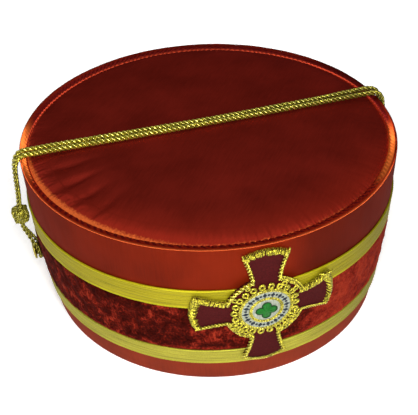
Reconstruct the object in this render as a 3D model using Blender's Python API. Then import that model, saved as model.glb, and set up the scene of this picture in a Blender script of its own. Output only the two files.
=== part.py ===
"""A round ceremonial cap with a flared band, a padded crown, gold braids, a double cord and a cross badge.

Metres, +Z up. The origin is the centre of the base rim, the front is towards -Y,
and the cap stands on its base rim, hollow and open below.
"""
import math

import bmesh
import bpy
from mathutils import Matrix, Vector

# Driving sizes of the cap, in metres
OPENING_HALF_WIDTH = 0.0910      # head opening at the base rim, side to side
OPENING_HALF_LENGTH = 0.0950     # head opening at the base rim, front to back
WALL = 0.0025                    # card, padding and satin together
HEIGHT = 0.0910                  # base rim to the fold at the crown
FLARE = 0.0085                   # how much wider the fold is than the base, on each side
BELLY = 0.0013                   # how far the band bows out at half its height
GAP = 0.0003                     # clearance between pieces that touch

# The turned-in rim and the padded crown
RIM_WIDTH = 0.0060               # the satin turned in at the fold, up to the crown's seam
RIM_ARCH = 0.0002                # how far the turned-in rim bulges
SEAM_DROP = 0.0007               # the seam lies lower than the fold
PUFF = 0.0026                    # how far the padding lifts the crown above its seam
PUFF_RUN = 0.0040                # how fast the padding rises, measured in from the seam

# The bands round the side, from the base rim up
LOWER_MARGIN = 0.0135            # bare satin under the lower braid
LOWER_BRAID_WIDTH = 0.0100
VELVET_WIDTH = 0.0310
UPPER_BRAID_WIDTH = 0.0120
BRAID_THICKNESS = 0.0008
VELVET_THICKNESS = 0.0008
BAND_CROWN = 0.0001              # how much thicker a band is in the middle than at its edges

# The double cord, its two slide knots and the two side buttons
CORD_DIAMETER = 0.0030
LOOP_DIAMETER = 0.0024           # the thinner loop below each knot
KNOT_DIAMETER = 0.0096
KNOT_HEIGHT = 0.0110
KNOT_LEVEL = 0.0560              # height of a knot's middle
BUTTON_LEVEL = 0.0310            # height of a side button's middle
BUTTON_DIAMETER = 0.0110
BUTTON_CAP = 0.0015              # thickness of the button's domed cap
SHANK_DIAMETER = 0.0066

# The cross badge on the front
BADGE_SIDE = 0.0007              # its middle lies this far to the right of the front line
BADGE_DROP = 0.0020              # and this far below the velvet's upper edge
ARM_REACH = 0.0360               # middle of the badge to the tip of an arm
ARM_BULGE = 0.0028               # how far the tip stands out past the arm's corners
ARM_END_HALF = 0.0105            # half the width across an arm's corners
ARM_ROOT_HALF = 0.0068           # half the width where the arm leaves the wreath
WREATH_RADIUS = 0.0200           # the round ground between the arms
CLOTH_THICKNESS = 0.0008
CLOTH_SETTLE = 0.0100            # the cloth sinks from the upper braid onto the satin over this height
BORDER_WIDTH = 0.0022            # bullion border
BORDER_HEIGHT = 0.0012
BORDER_OVERHANG = 0.0006         # how far the border reaches past the cloth's edge
LOOP_COUNT = 22                  # gold loops round the medallion
LOOP_RING_RADIUS = 0.0170
LOOP_DEPTH = 0.0016              # how deep the notches between the loops are
LOOP_THICKNESS = 0.0010
MEDALLION_RADIUS = 0.0130        # outside the medallion's gold rim
RIM_WIRE = 0.0010                # width of the medallion's two gold rings
RIM_HEIGHT = 0.0016
SILK_HEIGHT = 0.0013           # the white ring and the white disc
INNER_RING_RADIUS = 0.0080       # outside the inner gold ring
ROSETTE_RADIUS = 0.0050
ROSETTE_LOBES = 4
ROSETTE_HEIGHT = 0.0005

# How finely round shapes are divided
SEGMENTS = 72                    # round the cap
WALL_LEVELS = 5
KNOT_SIDES = 12
BUTTON_SIDES = 16
ARM_ROWS = 3                     # along each side of an arm of the badge
RING_SIDES = 32

# Across the crown, a row for each stretch of the double cord. Columns: place as a share of
# the fold's half width, left negative, then the y of the front strand and of the back strand.
CROWN_ROWS = (
    (-0.90, -0.0009, 0.0046),
    (-0.78, -0.0003, 0.0052),
    (-0.50, 0.0000, 0.0055),
    (-0.20, 0.0007, 0.0052),
    (0.10, 0.0016, 0.0054),
    (0.40, 0.0027, 0.0067),
    (0.65, 0.0037, 0.0080),
    (0.90, 0.0049, 0.0104),
)
# Over the fold and down the side, the same on both sides. Columns: distance outside the
# fold, height above the fold, share of the way from the knot's spacing to the crown's.
DROP_ROWS = (
    (0.0040, -0.0210, 0.15),
    (0.0037, -0.0120, 0.35),
    (0.0034, -0.0060, 0.60),
    (0.0027, -0.0016, 0.80),
    (0.0008, 0.0020, 0.90),
    (-0.0028, 0.0036, 1.00),
)
CORD_LIFT = 0.0003               # clearance between the cord and the crown's padding

# Soft dents in the padding. Columns: bearing in degrees from +X, distance in from the seam
# of the dent's deepest place, half length inwards, half width in degrees, depth as a share of PUFF.
DENTS = (
    (176.0, 0.016, 0.016, 5.0, 0.22),
    (190.0, 0.024, 0.024, 5.5, 0.40),
    (201.0, 0.030, 0.022, 4.5, 0.30),
    (214.0, 0.020, 0.018, 5.0, 0.22),
    (338.0, 0.010, 0.012, 5.0, 0.22),
    (352.0, 0.008, 0.010, 4.0, 0.20),
)

# Sizes that follow
BASE_HALF_WIDTH = OPENING_HALF_WIDTH + WALL
BASE_HALF_LENGTH = OPENING_HALF_LENGTH + WALL
LOWER_BRAID_LOW = LOWER_MARGIN
LOWER_BRAID_TOP = LOWER_BRAID_LOW + LOWER_BRAID_WIDTH
UPPER_BRAID_LOW = LOWER_BRAID_TOP + VELVET_WIDTH
UPPER_BRAID_TOP = UPPER_BRAID_LOW + UPPER_BRAID_WIDTH
BRAID_FACE = GAP + BRAID_THICKNESS + BAND_CROWN
VELVET_FACE = GAP + VELVET_THICKNESS + BAND_CROWN
SEAM_HEIGHT = HEIGHT - SEAM_DROP
BADGE_LEVEL = UPPER_BRAID_LOW - BADGE_DROP
CLOTH_BACK = max(BRAID_FACE, VELVET_FACE) + GAP
CLOTH_FACE = CLOTH_BACK + CLOTH_THICKNESS
TRIM_BACK = CLOTH_FACE + GAP


def half_sizes(height, outwards=0.0):
    """Half width and half length of the band's outer face at a height, moved outwards."""
    share = min(max(height / HEIGHT, 0.0), 1.0)
    grow = FLARE * share + BELLY * 4.0 * share * (1.0 - share) + outwards
    return BASE_HALF_WIDTH + grow, BASE_HALF_LENGTH + grow


def side_x(height, y, outwards=0.0):
    """Half width of the band at a height, on the line with this y."""
    half_width, half_length = half_sizes(height, outwards)
    return half_width * math.sqrt(max(1.0 - (y / half_length) ** 2, 0.0))


def material(name, colour, roughness, metallic=0.0):
    """A Principled material with one colour."""
    made = bpy.data.materials.new(name)
    made.use_nodes = True
    shader = made.node_tree.nodes["Principled BSDF"]
    shader.inputs["Base Color"].default_value = (*colour, 1.0)
    shader.inputs["Roughness"].default_value = roughness
    shader.inputs["Metallic"].default_value = metallic
    return made


def add_object(name, points, faces, look, smooth_angle=35.0):
    """A mesh object with its faces pointing out, smooth where the surface is round."""
    mesh = bpy.data.meshes.new(name)
    mesh.from_pydata([tuple(point) for point in points], [], faces)
    shape = bmesh.new()
    shape.from_mesh(mesh)
    bmesh.ops.recalc_face_normals(shape, faces=shape.faces)
    shape.to_mesh(mesh)
    shape.free()
    mesh.shade_smooth()
    mesh.set_sharp_from_angle(angle=math.radians(smooth_angle))
    mesh.materials.append(look)
    made = bpy.data.objects.new(name, mesh)
    bpy.context.scene.collection.objects.link(made)
    return made


def joined_rings(rings, closed_round=True):
    """Points and faces of rings joined one to the next, and the last to the first if asked."""
    count = len(rings[0])
    points = [point for ring in rings for point in ring]
    faces = []
    pairs = len(rings) if closed_round else len(rings) - 1
    for ring in range(pairs):
        here, there = ring * count, ((ring + 1) % len(rings)) * count
        for side in range(count):
            after = (side + 1) % count
            faces.append((here + side, here + after, there + after, there + side))
    return points, faces


def oval_ring(height, outwards, level=None):
    """Points round the cap on the band's outer face at a height, moved outwards."""
    half_width, half_length = half_sizes(height, outwards)
    place = height if level is None else level
    ring = []
    for step in range(SEGMENTS):
        turn = 2.0 * math.pi * step / SEGMENTS
        ring.append(Vector((half_width * math.cos(turn), half_length * math.sin(turn), place)))
    return ring


def add_band(name, section, look):
    """A band round the cap. Its section is a closed list of (outwards, height)."""
    points, faces = joined_rings([oval_ring(height, outwards) for outwards, height in section])
    return add_object(name, points, faces, look)


def add_turned(name, profile, sides, look, placed):
    """A round piece turned about its own Z axis, from (radius, height) pairs, closed at both ends."""
    rings = []
    for radius, height in profile:
        turns = [2.0 * math.pi * side / sides for side in range(sides)]
        rings.append([Vector((radius * math.cos(t), radius * math.sin(t), height)) for t in turns])
    points, faces = joined_rings(rings, closed_round=False)
    faces.append(tuple(range(sides)))
    faces.append(tuple(range(len(points) - sides, len(points))))
    made = add_object(name, points, faces, look)
    made.matrix_world = placed
    return made


def side_wall(look):
    """The stiff satin band, turned in at the fold to the crown's seam."""
    levels = [HEIGHT * step / WALL_LEVELS for step in range(WALL_LEVELS + 1)]
    section = [(0.0, height) for height in levels]
    section += [
        (-RIM_WIDTH / 2.0, HEIGHT - SEAM_DROP / 2.0 + RIM_ARCH),
        (-RIM_WIDTH, SEAM_HEIGHT),
        (-RIM_WIDTH, SEAM_HEIGHT - WALL),
        (-WALL, SEAM_HEIGHT - WALL),
    ]
    section += [(-WALL, height) for height in reversed(levels[:-1])]
    return add_band("side_wall", section, look)


def dent_share(bearing, inwards):
    """How deep the dents are at one place of the crown, as a share of the padding's rise."""
    depth = 0.0
    for middle, along, half_length, half_turn, share in DENTS:
        turn = (math.degrees(bearing) - middle + 180.0) % 360.0 - 180.0
        near = ((inwards - along) / half_length) ** 2 + (turn / half_turn) ** 2
        depth += share * math.exp(-near)
    return depth


def crown_height(bearing, inwards):
    """Height of the padded crown at a distance in from its seam."""
    rise = 1.0 - math.exp(-inwards / PUFF_RUN)
    return SEAM_HEIGHT + PUFF * rise * (1.0 - dent_share(bearing, inwards))


def crown_ring(inwards):
    """Points of the crown's upper face at a distance in from its seam."""
    ring = oval_ring(HEIGHT, -RIM_WIDTH - GAP - inwards)
    for point in ring:
        point.z = crown_height(math.atan2(point.y, point.x), inwards)
    return ring


def top_panel(look):
    """The padded crown: a stiff flat underside, and satin puffed over the padding."""
    half_width = half_sizes(HEIGHT, -RIM_WIDTH - GAP)[0]
    shares = (0.0, 0.014, 0.034, 0.062, 0.10, 0.17, 0.27, 0.40, 0.60, 0.82)
    rings = [crown_ring(half_width * share) for share in shares]
    underside = oval_ring(HEIGHT, -RIM_WIDTH - GAP, SEAM_HEIGHT - WALL)
    points, faces = joined_rings([underside] + rings, closed_round=False)
    middle = crown_height(0.0, half_width)
    points += [Vector((0.0, 0.0, SEAM_HEIGHT - WALL)), Vector((0.0, 0.0, middle))]
    below, above = len(points) - 2, len(points) - 1
    last = len(rings) * SEGMENTS
    for side in range(SEGMENTS):
        after = (side + 1) % SEGMENTS
        faces.append((side, after, below))
        faces.append((last + side, last + after, above))
    return add_object("top_panel", points, faces, look)


def trim_band(name, low, high, thickness, look):
    """A flat woven band sewn round the side, a little thicker in its middle."""
    edge = GAP + thickness
    section = [
        (GAP, low),
        (edge, low),
        (edge + BAND_CROWN, (low + high) / 2.0),
        (edge, high),
        (GAP, high),
        (GAP, (low + high) / 2.0),
    ]
    return add_band(name, section, look)


def smooth_route(points, diameter):
    """Points of a smooth curve through the route's own points, 3 diameters apart or closer."""
    route = []
    last = len(points) - 1
    for span in range(last):
        before, start = points[max(span - 1, 0)], points[span]
        end, after = points[span + 1], points[min(span + 2, last)]
        pieces = max(1, round((end - start).length / (3.0 * diameter)))
        for piece in range(pieces):
            t = piece / pieces
            route.append(0.5 * (
                2.0 * start + (end - before) * t
                + (2.0 * before - 5.0 * start + 4.0 * end - after) * t ** 2
                + (3.0 * start - before - 3.0 * end + after) * t ** 3))
    route.append(points[-1])
    return route


def add_tube(name, points, diameter, look):
    """A plain round tube along the points, closed at both ends."""
    curve = bpy.data.curves.new(name, "CURVE")
    curve.dimensions = "3D"
    curve.bevel_depth = diameter / 2.0
    curve.bevel_resolution = 2
    curve.use_fill_caps = True
    spline = curve.splines.new("POLY")
    spline.points.add(len(points) - 1)
    for place, point in zip(spline.points, points):
        place.co = (*point, 1.0)
    curve.materials.append(look)
    made = bpy.data.objects.new(name, curve)
    bpy.context.scene.collection.objects.link(made)
    return made


def knot_centre(side):
    """Middle of the slide knot on one side, -1 left and +1 right, clear of the braid."""
    row = CROWN_ROWS[0] if side < 0 else CROWN_ROWS[-1]
    y = (row[1] + row[2]) / 2.0
    clear = max(BRAID_FACE, VELVET_FACE) + GAP + KNOT_DIAMETER / 2.0
    return Vector((side * side_x(KNOT_LEVEL + KNOT_HEIGHT / 2.0, y, clear), y, KNOT_LEVEL))


def drop_route(side, column):
    """One strand's points from the knot on one side up to the edge of the crown."""
    knot = knot_centre(side)
    row = CROWN_ROWS[0] if side < 0 else CROWN_ROWS[-1]
    half_spacing = (CORD_DIAMETER + GAP) / 2.0
    at_knot = knot.y + (-half_spacing if column == 1 else half_spacing)
    points = [Vector((knot.x, at_knot, knot.z + KNOT_HEIGHT / 2.0 + GAP))]
    for outside, above, share in DROP_ROWS:
        y = at_knot + (row[column] - at_knot) * share
        points.append(Vector((side * (side_x(HEIGHT, y) + outside), y, HEIGHT + above)))
    return points


def strand_route(column):
    """One strand from the left knot over the crown to the right knot. Column 1 is the front one."""
    level = SEAM_HEIGHT + PUFF + CORD_LIFT + CORD_DIAMETER / 2.0
    half_width = half_sizes(HEIGHT)[0]
    across = [Vector((row[0] * half_width, row[column], level)) for row in CROWN_ROWS]
    return drop_route(-1, column) + across + drop_route(1, column)[::-1]


def button_centre(side, outwards=0.0):
    """Middle of the side button's place on the band, moved outwards."""
    y = knot_centre(side).y
    return Vector((side * side_x(BUTTON_LEVEL, y, outwards), y, BUTTON_LEVEL))


def loop_route(side):
    """The loop below a knot: down one leg, round the button's shank and up the other leg."""
    knot = knot_centre(side)
    radius = SHANK_DIAMETER / 2.0 + GAP + LOOP_DIAMETER / 2.0
    proud = VELVET_FACE + GAP + LOOP_DIAMETER / 2.0
    leg_top = Vector((knot.x, (LOOP_DIAMETER + GAP) / 2.0, knot.z - KNOT_HEIGHT / 2.0 - GAP))
    front = []
    for degrees in (30.0, 0.0, -30.0, -60.0, -90.0):
        turn = math.radians(degrees)
        across, level = radius * math.cos(turn), BUTTON_LEVEL + radius * math.sin(turn)
        front.append(Vector((side * side_x(level, knot.y, proud), across, level)))
    leg = [leg_top, leg_top - Vector((0.0, 0.0, LOOP_DIAMETER))]
    for share in (0.33, 0.67):
        ease = share * share * (3.0 - 2.0 * share)
        point = leg[1].lerp(front[0], share)
        point.y = leg_top.y + (front[0].y - leg_top.y) * ease
        leg.append(point)
    half = leg + front
    there = [Vector((p.x, knot.y - p.y, p.z)) for p in half]
    back = [Vector((p.x, knot.y + p.y, p.z)) for p in reversed(half[:-1])]
    return there + back


def slide_knot(name, side, look):
    """A round woven slide knot on the double cord."""
    radius, half = KNOT_DIAMETER / 2.0, KNOT_HEIGHT / 2.0
    profile = ((0.62 * radius, -half), (0.90 * radius, -0.72 * half), (radius, -0.25 * half),
               (radius, 0.25 * half), (0.90 * radius, 0.72 * half), (0.62 * radius, half))
    return add_turned(name, profile, KNOT_SIDES, look, Matrix.Translation(knot_centre(side)))


def side_button(name, side, look):
    """A domed button on a shank, square to the leaning band."""
    cap = GAP + LOOP_DIAMETER + GAP
    shank, head = SHANK_DIAMETER / 2.0, BUTTON_DIAMETER / 2.0
    profile = ((shank, 0.0), (shank, cap), (0.92 * head, cap), (head, cap + 0.35 * BUTTON_CAP),
               (0.72 * head, cap + 0.80 * BUTTON_CAP), (0.30 * head, cap + BUTTON_CAP))
    lean = math.atan2(FLARE, HEIGHT)
    outwards = Vector((side * math.cos(lean), 0.0, -math.sin(lean)))
    turned = outwards.to_track_quat("Z", "Y").to_matrix().to_4x4()
    foot = button_centre(side, VELVET_FACE + GAP + shank * math.tan(lean) / 2.0)
    return add_turned(name, profile, BUTTON_SIDES, look, Matrix.Translation(foot) @ turned)


def badge_sink(height):
    """How much closer the badge lies above the upper braid, where only satin carries it."""
    share = min(max((height - UPPER_BRAID_TOP) / CLOTH_SETTLE, 0.0), 1.0)
    return (CLOTH_BACK - 2.0 * GAP) * share * share * (3.0 - 2.0 * share)


def on_badge(across, up, proud):
    """A point of the badge laid on the band: right and up from its middle, and off the band."""
    height = BADGE_LEVEL + up
    half_width, half_length = half_sizes(height, proud - badge_sink(height))
    turn = -math.pi / 2.0 + (BADGE_SIDE + across) / half_sizes(height)[0]
    return Vector((half_width * math.cos(turn), half_length * math.sin(turn), height))


def arm_side(share):
    """Half the arm's width, and the distance from the badge's middle, along an arm's side."""
    corner = ARM_REACH - ARM_BULGE
    root = math.sqrt(WREATH_RADIUS ** 2 - ARM_ROOT_HALF ** 2)
    return ARM_ROOT_HALF + (ARM_END_HALF - ARM_ROOT_HALF) * share ** 1.4, root + (corner - root) * share


def badge_outline(outwards=0.0):
    """The badge's outline as (across, up) pairs, four flared arms round a circle, moved outwards."""
    tip = [(ARM_END_HALF * part, ARM_REACH - ARM_BULGE * part ** 2) for part in (0.5, 0.0)]
    half = [arm_side(row / ARM_ROWS) for row in range(ARM_ROWS + 1)] + tip
    arm = half + [(-across, up) for across, up in reversed(half[:-1])]
    root_turn = math.atan2(half[0][1], half[0][0])
    between = math.pi / 2.0 - 2.0 * (math.pi / 2.0 - root_turn)
    for part in (0.25, 0.5, 0.75):
        turn = math.pi - root_turn + between * part
        arm.append((WREATH_RADIUS * math.cos(turn), WREATH_RADIUS * math.sin(turn)))
    corners = []
    for quarter in range(4):
        cos, sin = round(math.cos(quarter * math.pi / 2.0)), round(math.sin(quarter * math.pi / 2.0))
        corners += [Vector((x * cos - y * sin, x * sin + y * cos)) for x, y in arm]
    moved = []
    for place, corner in enumerate(corners):
        before = (corner - corners[place - 1]).normalized()
        after = (corners[(place + 1) % len(corners)] - corner).normalized()
        normal = Vector((before.y + after.y, -before.x - after.x)).normalized()
        square = max(normal.dot(Vector((before.y, -before.x))), 0.5)
        moved.append(corner + normal * (outwards / square))
    return moved


def filled_round(outline):
    """Points, faces and the outer loop of a round flat piece, fanned out from its middle."""
    points = outline + [Vector((0.0, 0.0))]
    count = len(outline)
    faces = [(side, (side + 1) % count, count) for side in range(count)]
    return points, faces, list(range(count))


def filled_badge():
    """Points, faces and the outer loop of the cross, divided along the middle of each arm."""
    points = badge_outline()
    loop = list(range(len(points)))
    quarter = len(points) // 4
    rows = ARM_ROWS + 1
    faces, disc = [], []
    for arm in range(4):
        right = [arm * quarter + row for row in range(rows)]
        tip = [right[-1] + step for step in range(1, 4)]
        left = [tip[-1] + rows - row for row in range(rows)]
        spine = [len(points) + row for row in range(rows)]
        points += [points[r].lerp(points[l], 0.5) for r, l in zip(right, left)]
        for row in range(ARM_ROWS):
            faces.append((right[row], right[row + 1], spine[row + 1], spine[row]))
            faces.append((spine[row], spine[row + 1], left[row + 1], left[row]))
        end = [right[-1]] + tip + [left[-1]]
        faces += [(spine[-1], here, after) for here, after in zip(end, end[1:])]
        disc += [right[0], spine[0], left[0]] + [left[0] + step for step in range(1, 4)]
    count = len(disc)
    inner = [len(points) + step for step in range(count)]
    points += [points[corner] * 0.5 for corner in disc] + [Vector((0.0, 0.0))]
    for step in range(count):
        after = (step + 1) % count
        faces.append((disc[step], disc[after], inner[after], inner[step]))
        faces.append((inner[step], inner[after], len(points) - 1))
    return points, faces, loop


def add_flat(name, filled, back, face, look):
    """A flat piece laid on the band, from its points, faces and outer loop."""
    outline, flat_faces, loop = filled
    count = len(outline)
    points = [on_badge(p.x, p.y, face) for p in outline] + [on_badge(p.x, p.y, back) for p in outline]
    faces = list(flat_faces) + [tuple(corner + count for corner in reversed(f)) for f in flat_faces]
    for here, after in zip(loop, loop[1:] + loop[:1]):
        faces.append((here, here + count, after + count, after))
    return add_object(name, points, faces, look)


def add_ring(name, inner, outer, back, face, look, rounded=0.0):
    """A ring laid on the band between two outlines, its upper edges rounded off."""
    def ring(outline, other, inset, proud):
        points = []
        for here, there in zip(outline, other):
            place = here.lerp(there, inset)
            points.append(on_badge(place.x, place.y, proud))
        return points

    shoulder = back + (face - back) * (1.0 - rounded)
    rings = [ring(inner, outer, 0.0, back), ring(outer, inner, 0.0, back)]
    rings += [ring(outer, inner, 0.0, shoulder)]
    if rounded > 0.0:
        rings += [ring(outer, inner, 0.5, face)]
    rings += [ring(inner, outer, 0.0, shoulder)]
    points, faces = joined_rings(rings)
    return add_object(name, points, faces, look)


def circle(radius, sides=RING_SIDES, lobes=0, depth=0.0):
    """A round outline, or one with lobes whose notches are this deep."""
    outline = []
    for side in range(sides):
        turn = 2.0 * math.pi * side / sides
        reach = radius
        if lobes:
            reach -= depth * (1.0 - abs(math.cos(lobes * turn / 2.0)))
        outline.append(Vector((reach * math.cos(turn), reach * math.sin(turn))))
    return outline


def badge(gold, cloth, white, green):
    """The cross badge: cloth ground, bullion border, loop ring and a medallion in rings."""
    face = TRIM_BACK + SILK_HEIGHT
    rim_face = TRIM_BACK + RIM_HEIGHT
    add_flat("badge_ground", filled_badge(), CLOTH_BACK, CLOTH_FACE, cloth)
    inside = badge_outline(BORDER_OVERHANG - BORDER_WIDTH)
    outside = badge_outline(BORDER_OVERHANG)
    add_ring("badge_border", inside, outside, TRIM_BACK, TRIM_BACK + BORDER_HEIGHT, gold, rounded=0.5)
    loops = circle(LOOP_RING_RADIUS, LOOP_COUNT * 4, LOOP_COUNT, LOOP_DEPTH)
    inner = circle(MEDALLION_RADIUS + GAP, LOOP_COUNT * 4)
    add_ring("medallion_loops", inner, loops, TRIM_BACK, TRIM_BACK + LOOP_THICKNESS, gold)
    rim = circle(MEDALLION_RADIUS - RIM_WIRE), circle(MEDALLION_RADIUS)
    add_ring("medallion_rim", *rim, TRIM_BACK, rim_face, gold, rounded=0.5)
    band = circle(INNER_RING_RADIUS + GAP), circle(MEDALLION_RADIUS - RIM_WIRE - GAP)
    add_ring("medallion_band", *band, TRIM_BACK, face, white)
    ring = circle(INNER_RING_RADIUS - RIM_WIRE), circle(INNER_RING_RADIUS)
    add_ring("medallion_ring", *ring, TRIM_BACK, rim_face, gold, rounded=0.5)
    disc = filled_round(circle(INNER_RING_RADIUS - RIM_WIRE - GAP))
    add_flat("medallion_disc", disc, TRIM_BACK, face, white)
    lobes = filled_round(circle(ROSETTE_RADIUS, ROSETTE_LOBES * 8, ROSETTE_LOBES, 0.45 * ROSETTE_RADIUS))
    add_flat("rosette", lobes, face + GAP, face + GAP + ROSETTE_HEIGHT, green)


def main():
    """Clear the scene and build every piece of the cap."""
    for old in list(bpy.data.objects):
        bpy.data.objects.remove(old, do_unlink=True)
    satin = material("red_satin", (0.24, 0.022, 0.010), 0.45)
    crown = material("red_crown_satin", (0.15, 0.010, 0.006), 0.42)
    velvet = material("red_velvet", (0.11, 0.008, 0.006), 0.80)
    braid = material("gold_braid", (0.47, 0.42, 0.06), 0.45, 0.3)
    bullion = material("gold_bullion", (0.50, 0.42, 0.06), 0.35, 0.8)
    cloth = material("maroon_cloth", (0.10, 0.011, 0.013), 0.85)
    white = material("white_silk", (0.55, 0.60, 0.50), 0.40)
    green = material("green_silk", (0.02, 0.17, 0.02), 0.40)

    side_wall(satin)
    top_panel(crown)
    trim_band("lower_braid", LOWER_BRAID_LOW, LOWER_BRAID_TOP, BRAID_THICKNESS, braid)
    trim_band("velvet_band", LOWER_BRAID_TOP + GAP, UPPER_BRAID_LOW - GAP, VELVET_THICKNESS, velvet)
    trim_band("upper_braid", UPPER_BRAID_LOW, UPPER_BRAID_TOP, BRAID_THICKNESS, braid)
    for name, column in (("cord_front", 1), ("cord_back", 2)):
        add_tube(name, smooth_route(strand_route(column), CORD_DIAMETER), CORD_DIAMETER, bullion)
    for word, side in (("left", -1), ("right", 1)):
        slide_knot(f"knot_{word}", side, bullion)
        add_tube(f"cord_loop_{word}", loop_route(side), LOOP_DIAMETER, bullion)
        side_button(f"button_{word}", side, bullion)
    badge(bullion, cloth, white, green)


main()
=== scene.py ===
"""The looks of a round ceremonial cap, made round its packed construction: a satin band and a padded
satin crown, gold braids with crushed velvet between them, a twisted double cord with slide knots and
side buttons, and an embroidered cross badge.

Metres, +Z up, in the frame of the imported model. The front of the cap is towards -Y.
"""
import math

import bmesh
import bpy
import numpy as np
from bpy.props import FloatProperty, FloatVectorProperty, IntProperty, PointerProperty
from mathutils import Matrix, Vector, noise


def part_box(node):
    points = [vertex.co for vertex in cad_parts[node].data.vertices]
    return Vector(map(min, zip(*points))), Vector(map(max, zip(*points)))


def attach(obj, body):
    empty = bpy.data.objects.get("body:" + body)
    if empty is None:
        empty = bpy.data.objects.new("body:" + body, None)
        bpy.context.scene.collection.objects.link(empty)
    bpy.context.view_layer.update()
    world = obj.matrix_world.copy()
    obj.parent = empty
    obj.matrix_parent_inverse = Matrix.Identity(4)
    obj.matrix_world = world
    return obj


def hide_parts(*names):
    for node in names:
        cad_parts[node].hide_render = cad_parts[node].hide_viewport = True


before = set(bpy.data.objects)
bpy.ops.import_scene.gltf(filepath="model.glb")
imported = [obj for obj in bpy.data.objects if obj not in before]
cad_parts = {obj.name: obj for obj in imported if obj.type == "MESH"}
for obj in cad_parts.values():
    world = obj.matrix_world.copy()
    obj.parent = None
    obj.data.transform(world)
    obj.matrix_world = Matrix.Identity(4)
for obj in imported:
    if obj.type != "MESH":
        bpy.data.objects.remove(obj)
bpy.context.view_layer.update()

bl_info = {
    "name": "Ceremonial cap",
    "version": (1, 0, 0),
    "blender": (4, 5, 0),
    "location": "3D View > Sidebar > Cap",
    "description": "Dresses the packed cap in satin, velvet, braid, cord and bullion",
    "category": "Add Mesh",
}

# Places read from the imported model
FOLD_HALF_WIDTH, FOLD_HALF_LENGTH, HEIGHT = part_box("side_wall")[1]
LOWER_BRAID_LOW, LOWER_BRAID_TOP = (corner.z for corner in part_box("lower_braid"))
VELVET_LOW, VELVET_TOP = (corner.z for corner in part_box("velvet_band"))
UPPER_BRAID_LOW, UPPER_BRAID_TOP = (corner.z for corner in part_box("upper_braid"))

# Sizes of the construction that the looks follow
FLARE = 0.0085
BELLY = 0.0013
WALL = 0.0025
GAP = 0.0003
RIM_WIDTH = 0.0060
SEAM_DROP = 0.0007
SEAM_HEIGHT = HEIGHT - SEAM_DROP
PUFF = 0.0026
BAND_FACE = 0.0012
CORD_DIAMETER = 0.0030
CORD_LIFT = 0.0003
LOOP_DIAMETER = 0.0024
KNOT_DIAMETER = 0.0096
KNOT_HEIGHT = 0.0110
KNOT_LEVEL = 0.0560
BUTTON_LEVEL = 0.0310
BUTTON_DIAMETER = 0.0110
BUTTON_CAP = 0.0015
SHANK_DIAMETER = 0.0066
BADGE_SIDE = 0.0007
BADGE_LEVEL = UPPER_BRAID_LOW - 0.0020
ARM_REACH = 0.0360
ARM_BULGE = 0.0028
ARM_END_HALF = 0.0105
ARM_ROOT_HALF = 0.0068
ARM_FLARE = 1.4
WREATH_RADIUS = 0.0200
ARM_ROOT = math.sqrt(WREATH_RADIUS ** 2 - ARM_ROOT_HALF ** 2)
CLOTH_SETTLE = 0.0100
CLOTH_THICKNESS = 0.0008
CLOTH_BACK = BAND_FACE + GAP
CLOTH_FACE = CLOTH_BACK + CLOTH_THICKNESS
TRIM_BACK = CLOTH_FACE + GAP
LOOP_COUNT = 22
MEDALLION_RADIUS = 0.0130
RING_WIDTH = 0.0010
INNER_RING_RADIUS = 0.0080
SILK_HEIGHT = 0.0013
SILK_DOME = 0.0003
SILK_UNDER_RING = 0.0004
ROSETTE_RADIUS = 0.0050

# Across the crown, a row for each stretch of the double cord. Columns: place as a share of
# the fold's half width, left negative, then the y of the front strand and of the back strand.
CROWN_ROWS = (
    (-0.90, -0.0008, 0.0041),
    (-0.78, -0.0002, 0.0045),
    (-0.50, 0.0001, 0.0047),
    (-0.20, 0.0007, 0.0048),
    (0.10, 0.0016, 0.0052),
    (0.40, 0.0027, 0.0067),
    (0.65, 0.0037, 0.0080),
    (0.90, 0.0049, 0.0104),
)
# Over the fold and down the side, the same on both sides. Columns: distance outside the
# fold, height above the fold, share of the way from the knot's spacing to the crown's.
DROP_ROWS = (
    (0.0040, -0.0210, 0.15),
    (0.0037, -0.0120, 0.35),
    (0.0034, -0.0060, 0.60),
    (0.0027, -0.0016, 0.80),
    (0.0008, 0.0020, 0.90),
    (-0.0028, 0.0036, 1.00),
)
# Soft dents in the padding. Columns: bearing in degrees from +X, distance in from the seam
# of the dent's deepest place, half length inwards, half width in degrees, depth as a share of PUFF.
DENTS = (
    (177.0, 0.014, 0.012, 3.5, 0.20),
    (190.0, 0.018, 0.013, 3.0, 0.38),
    (201.0, 0.016, 0.012, 2.3, 0.46),
    (211.0, 0.014, 0.011, 2.2, 0.36),
    (220.0, 0.015, 0.011, 2.4, 0.28),
    (338.0, 0.010, 0.012, 5.0, 0.14),
    (352.0, 0.008, 0.010, 4.0, 0.12),
)
# The pressed fold and the turned-in rim. Columns: distance in from the fold, depth below it.
FOLD_ROWS = (
    (0.00000, 0.00085),
    (0.00000, 0.00055),
    (0.00002, 0.00030),
    (0.00008, 0.00010),
    (0.00018, -0.00006),
    (0.00034, -0.00014),
    (0.00060, -0.00018),
    (0.00090, -0.00012),
    (0.00125, 0.00000),
    (0.00170, 0.00010),
    (0.00220, 0.00018),
    (0.00280, 0.00025),
    (0.00340, 0.00031),
    (0.00400, 0.00038),
    (0.00455, 0.00050),
    (0.00500, 0.00068),
    (0.00540, 0.00098),
    (0.00570, 0.00145),
    (0.00590, 0.00210),
    (0.00600, 0.00300),
)

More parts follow.
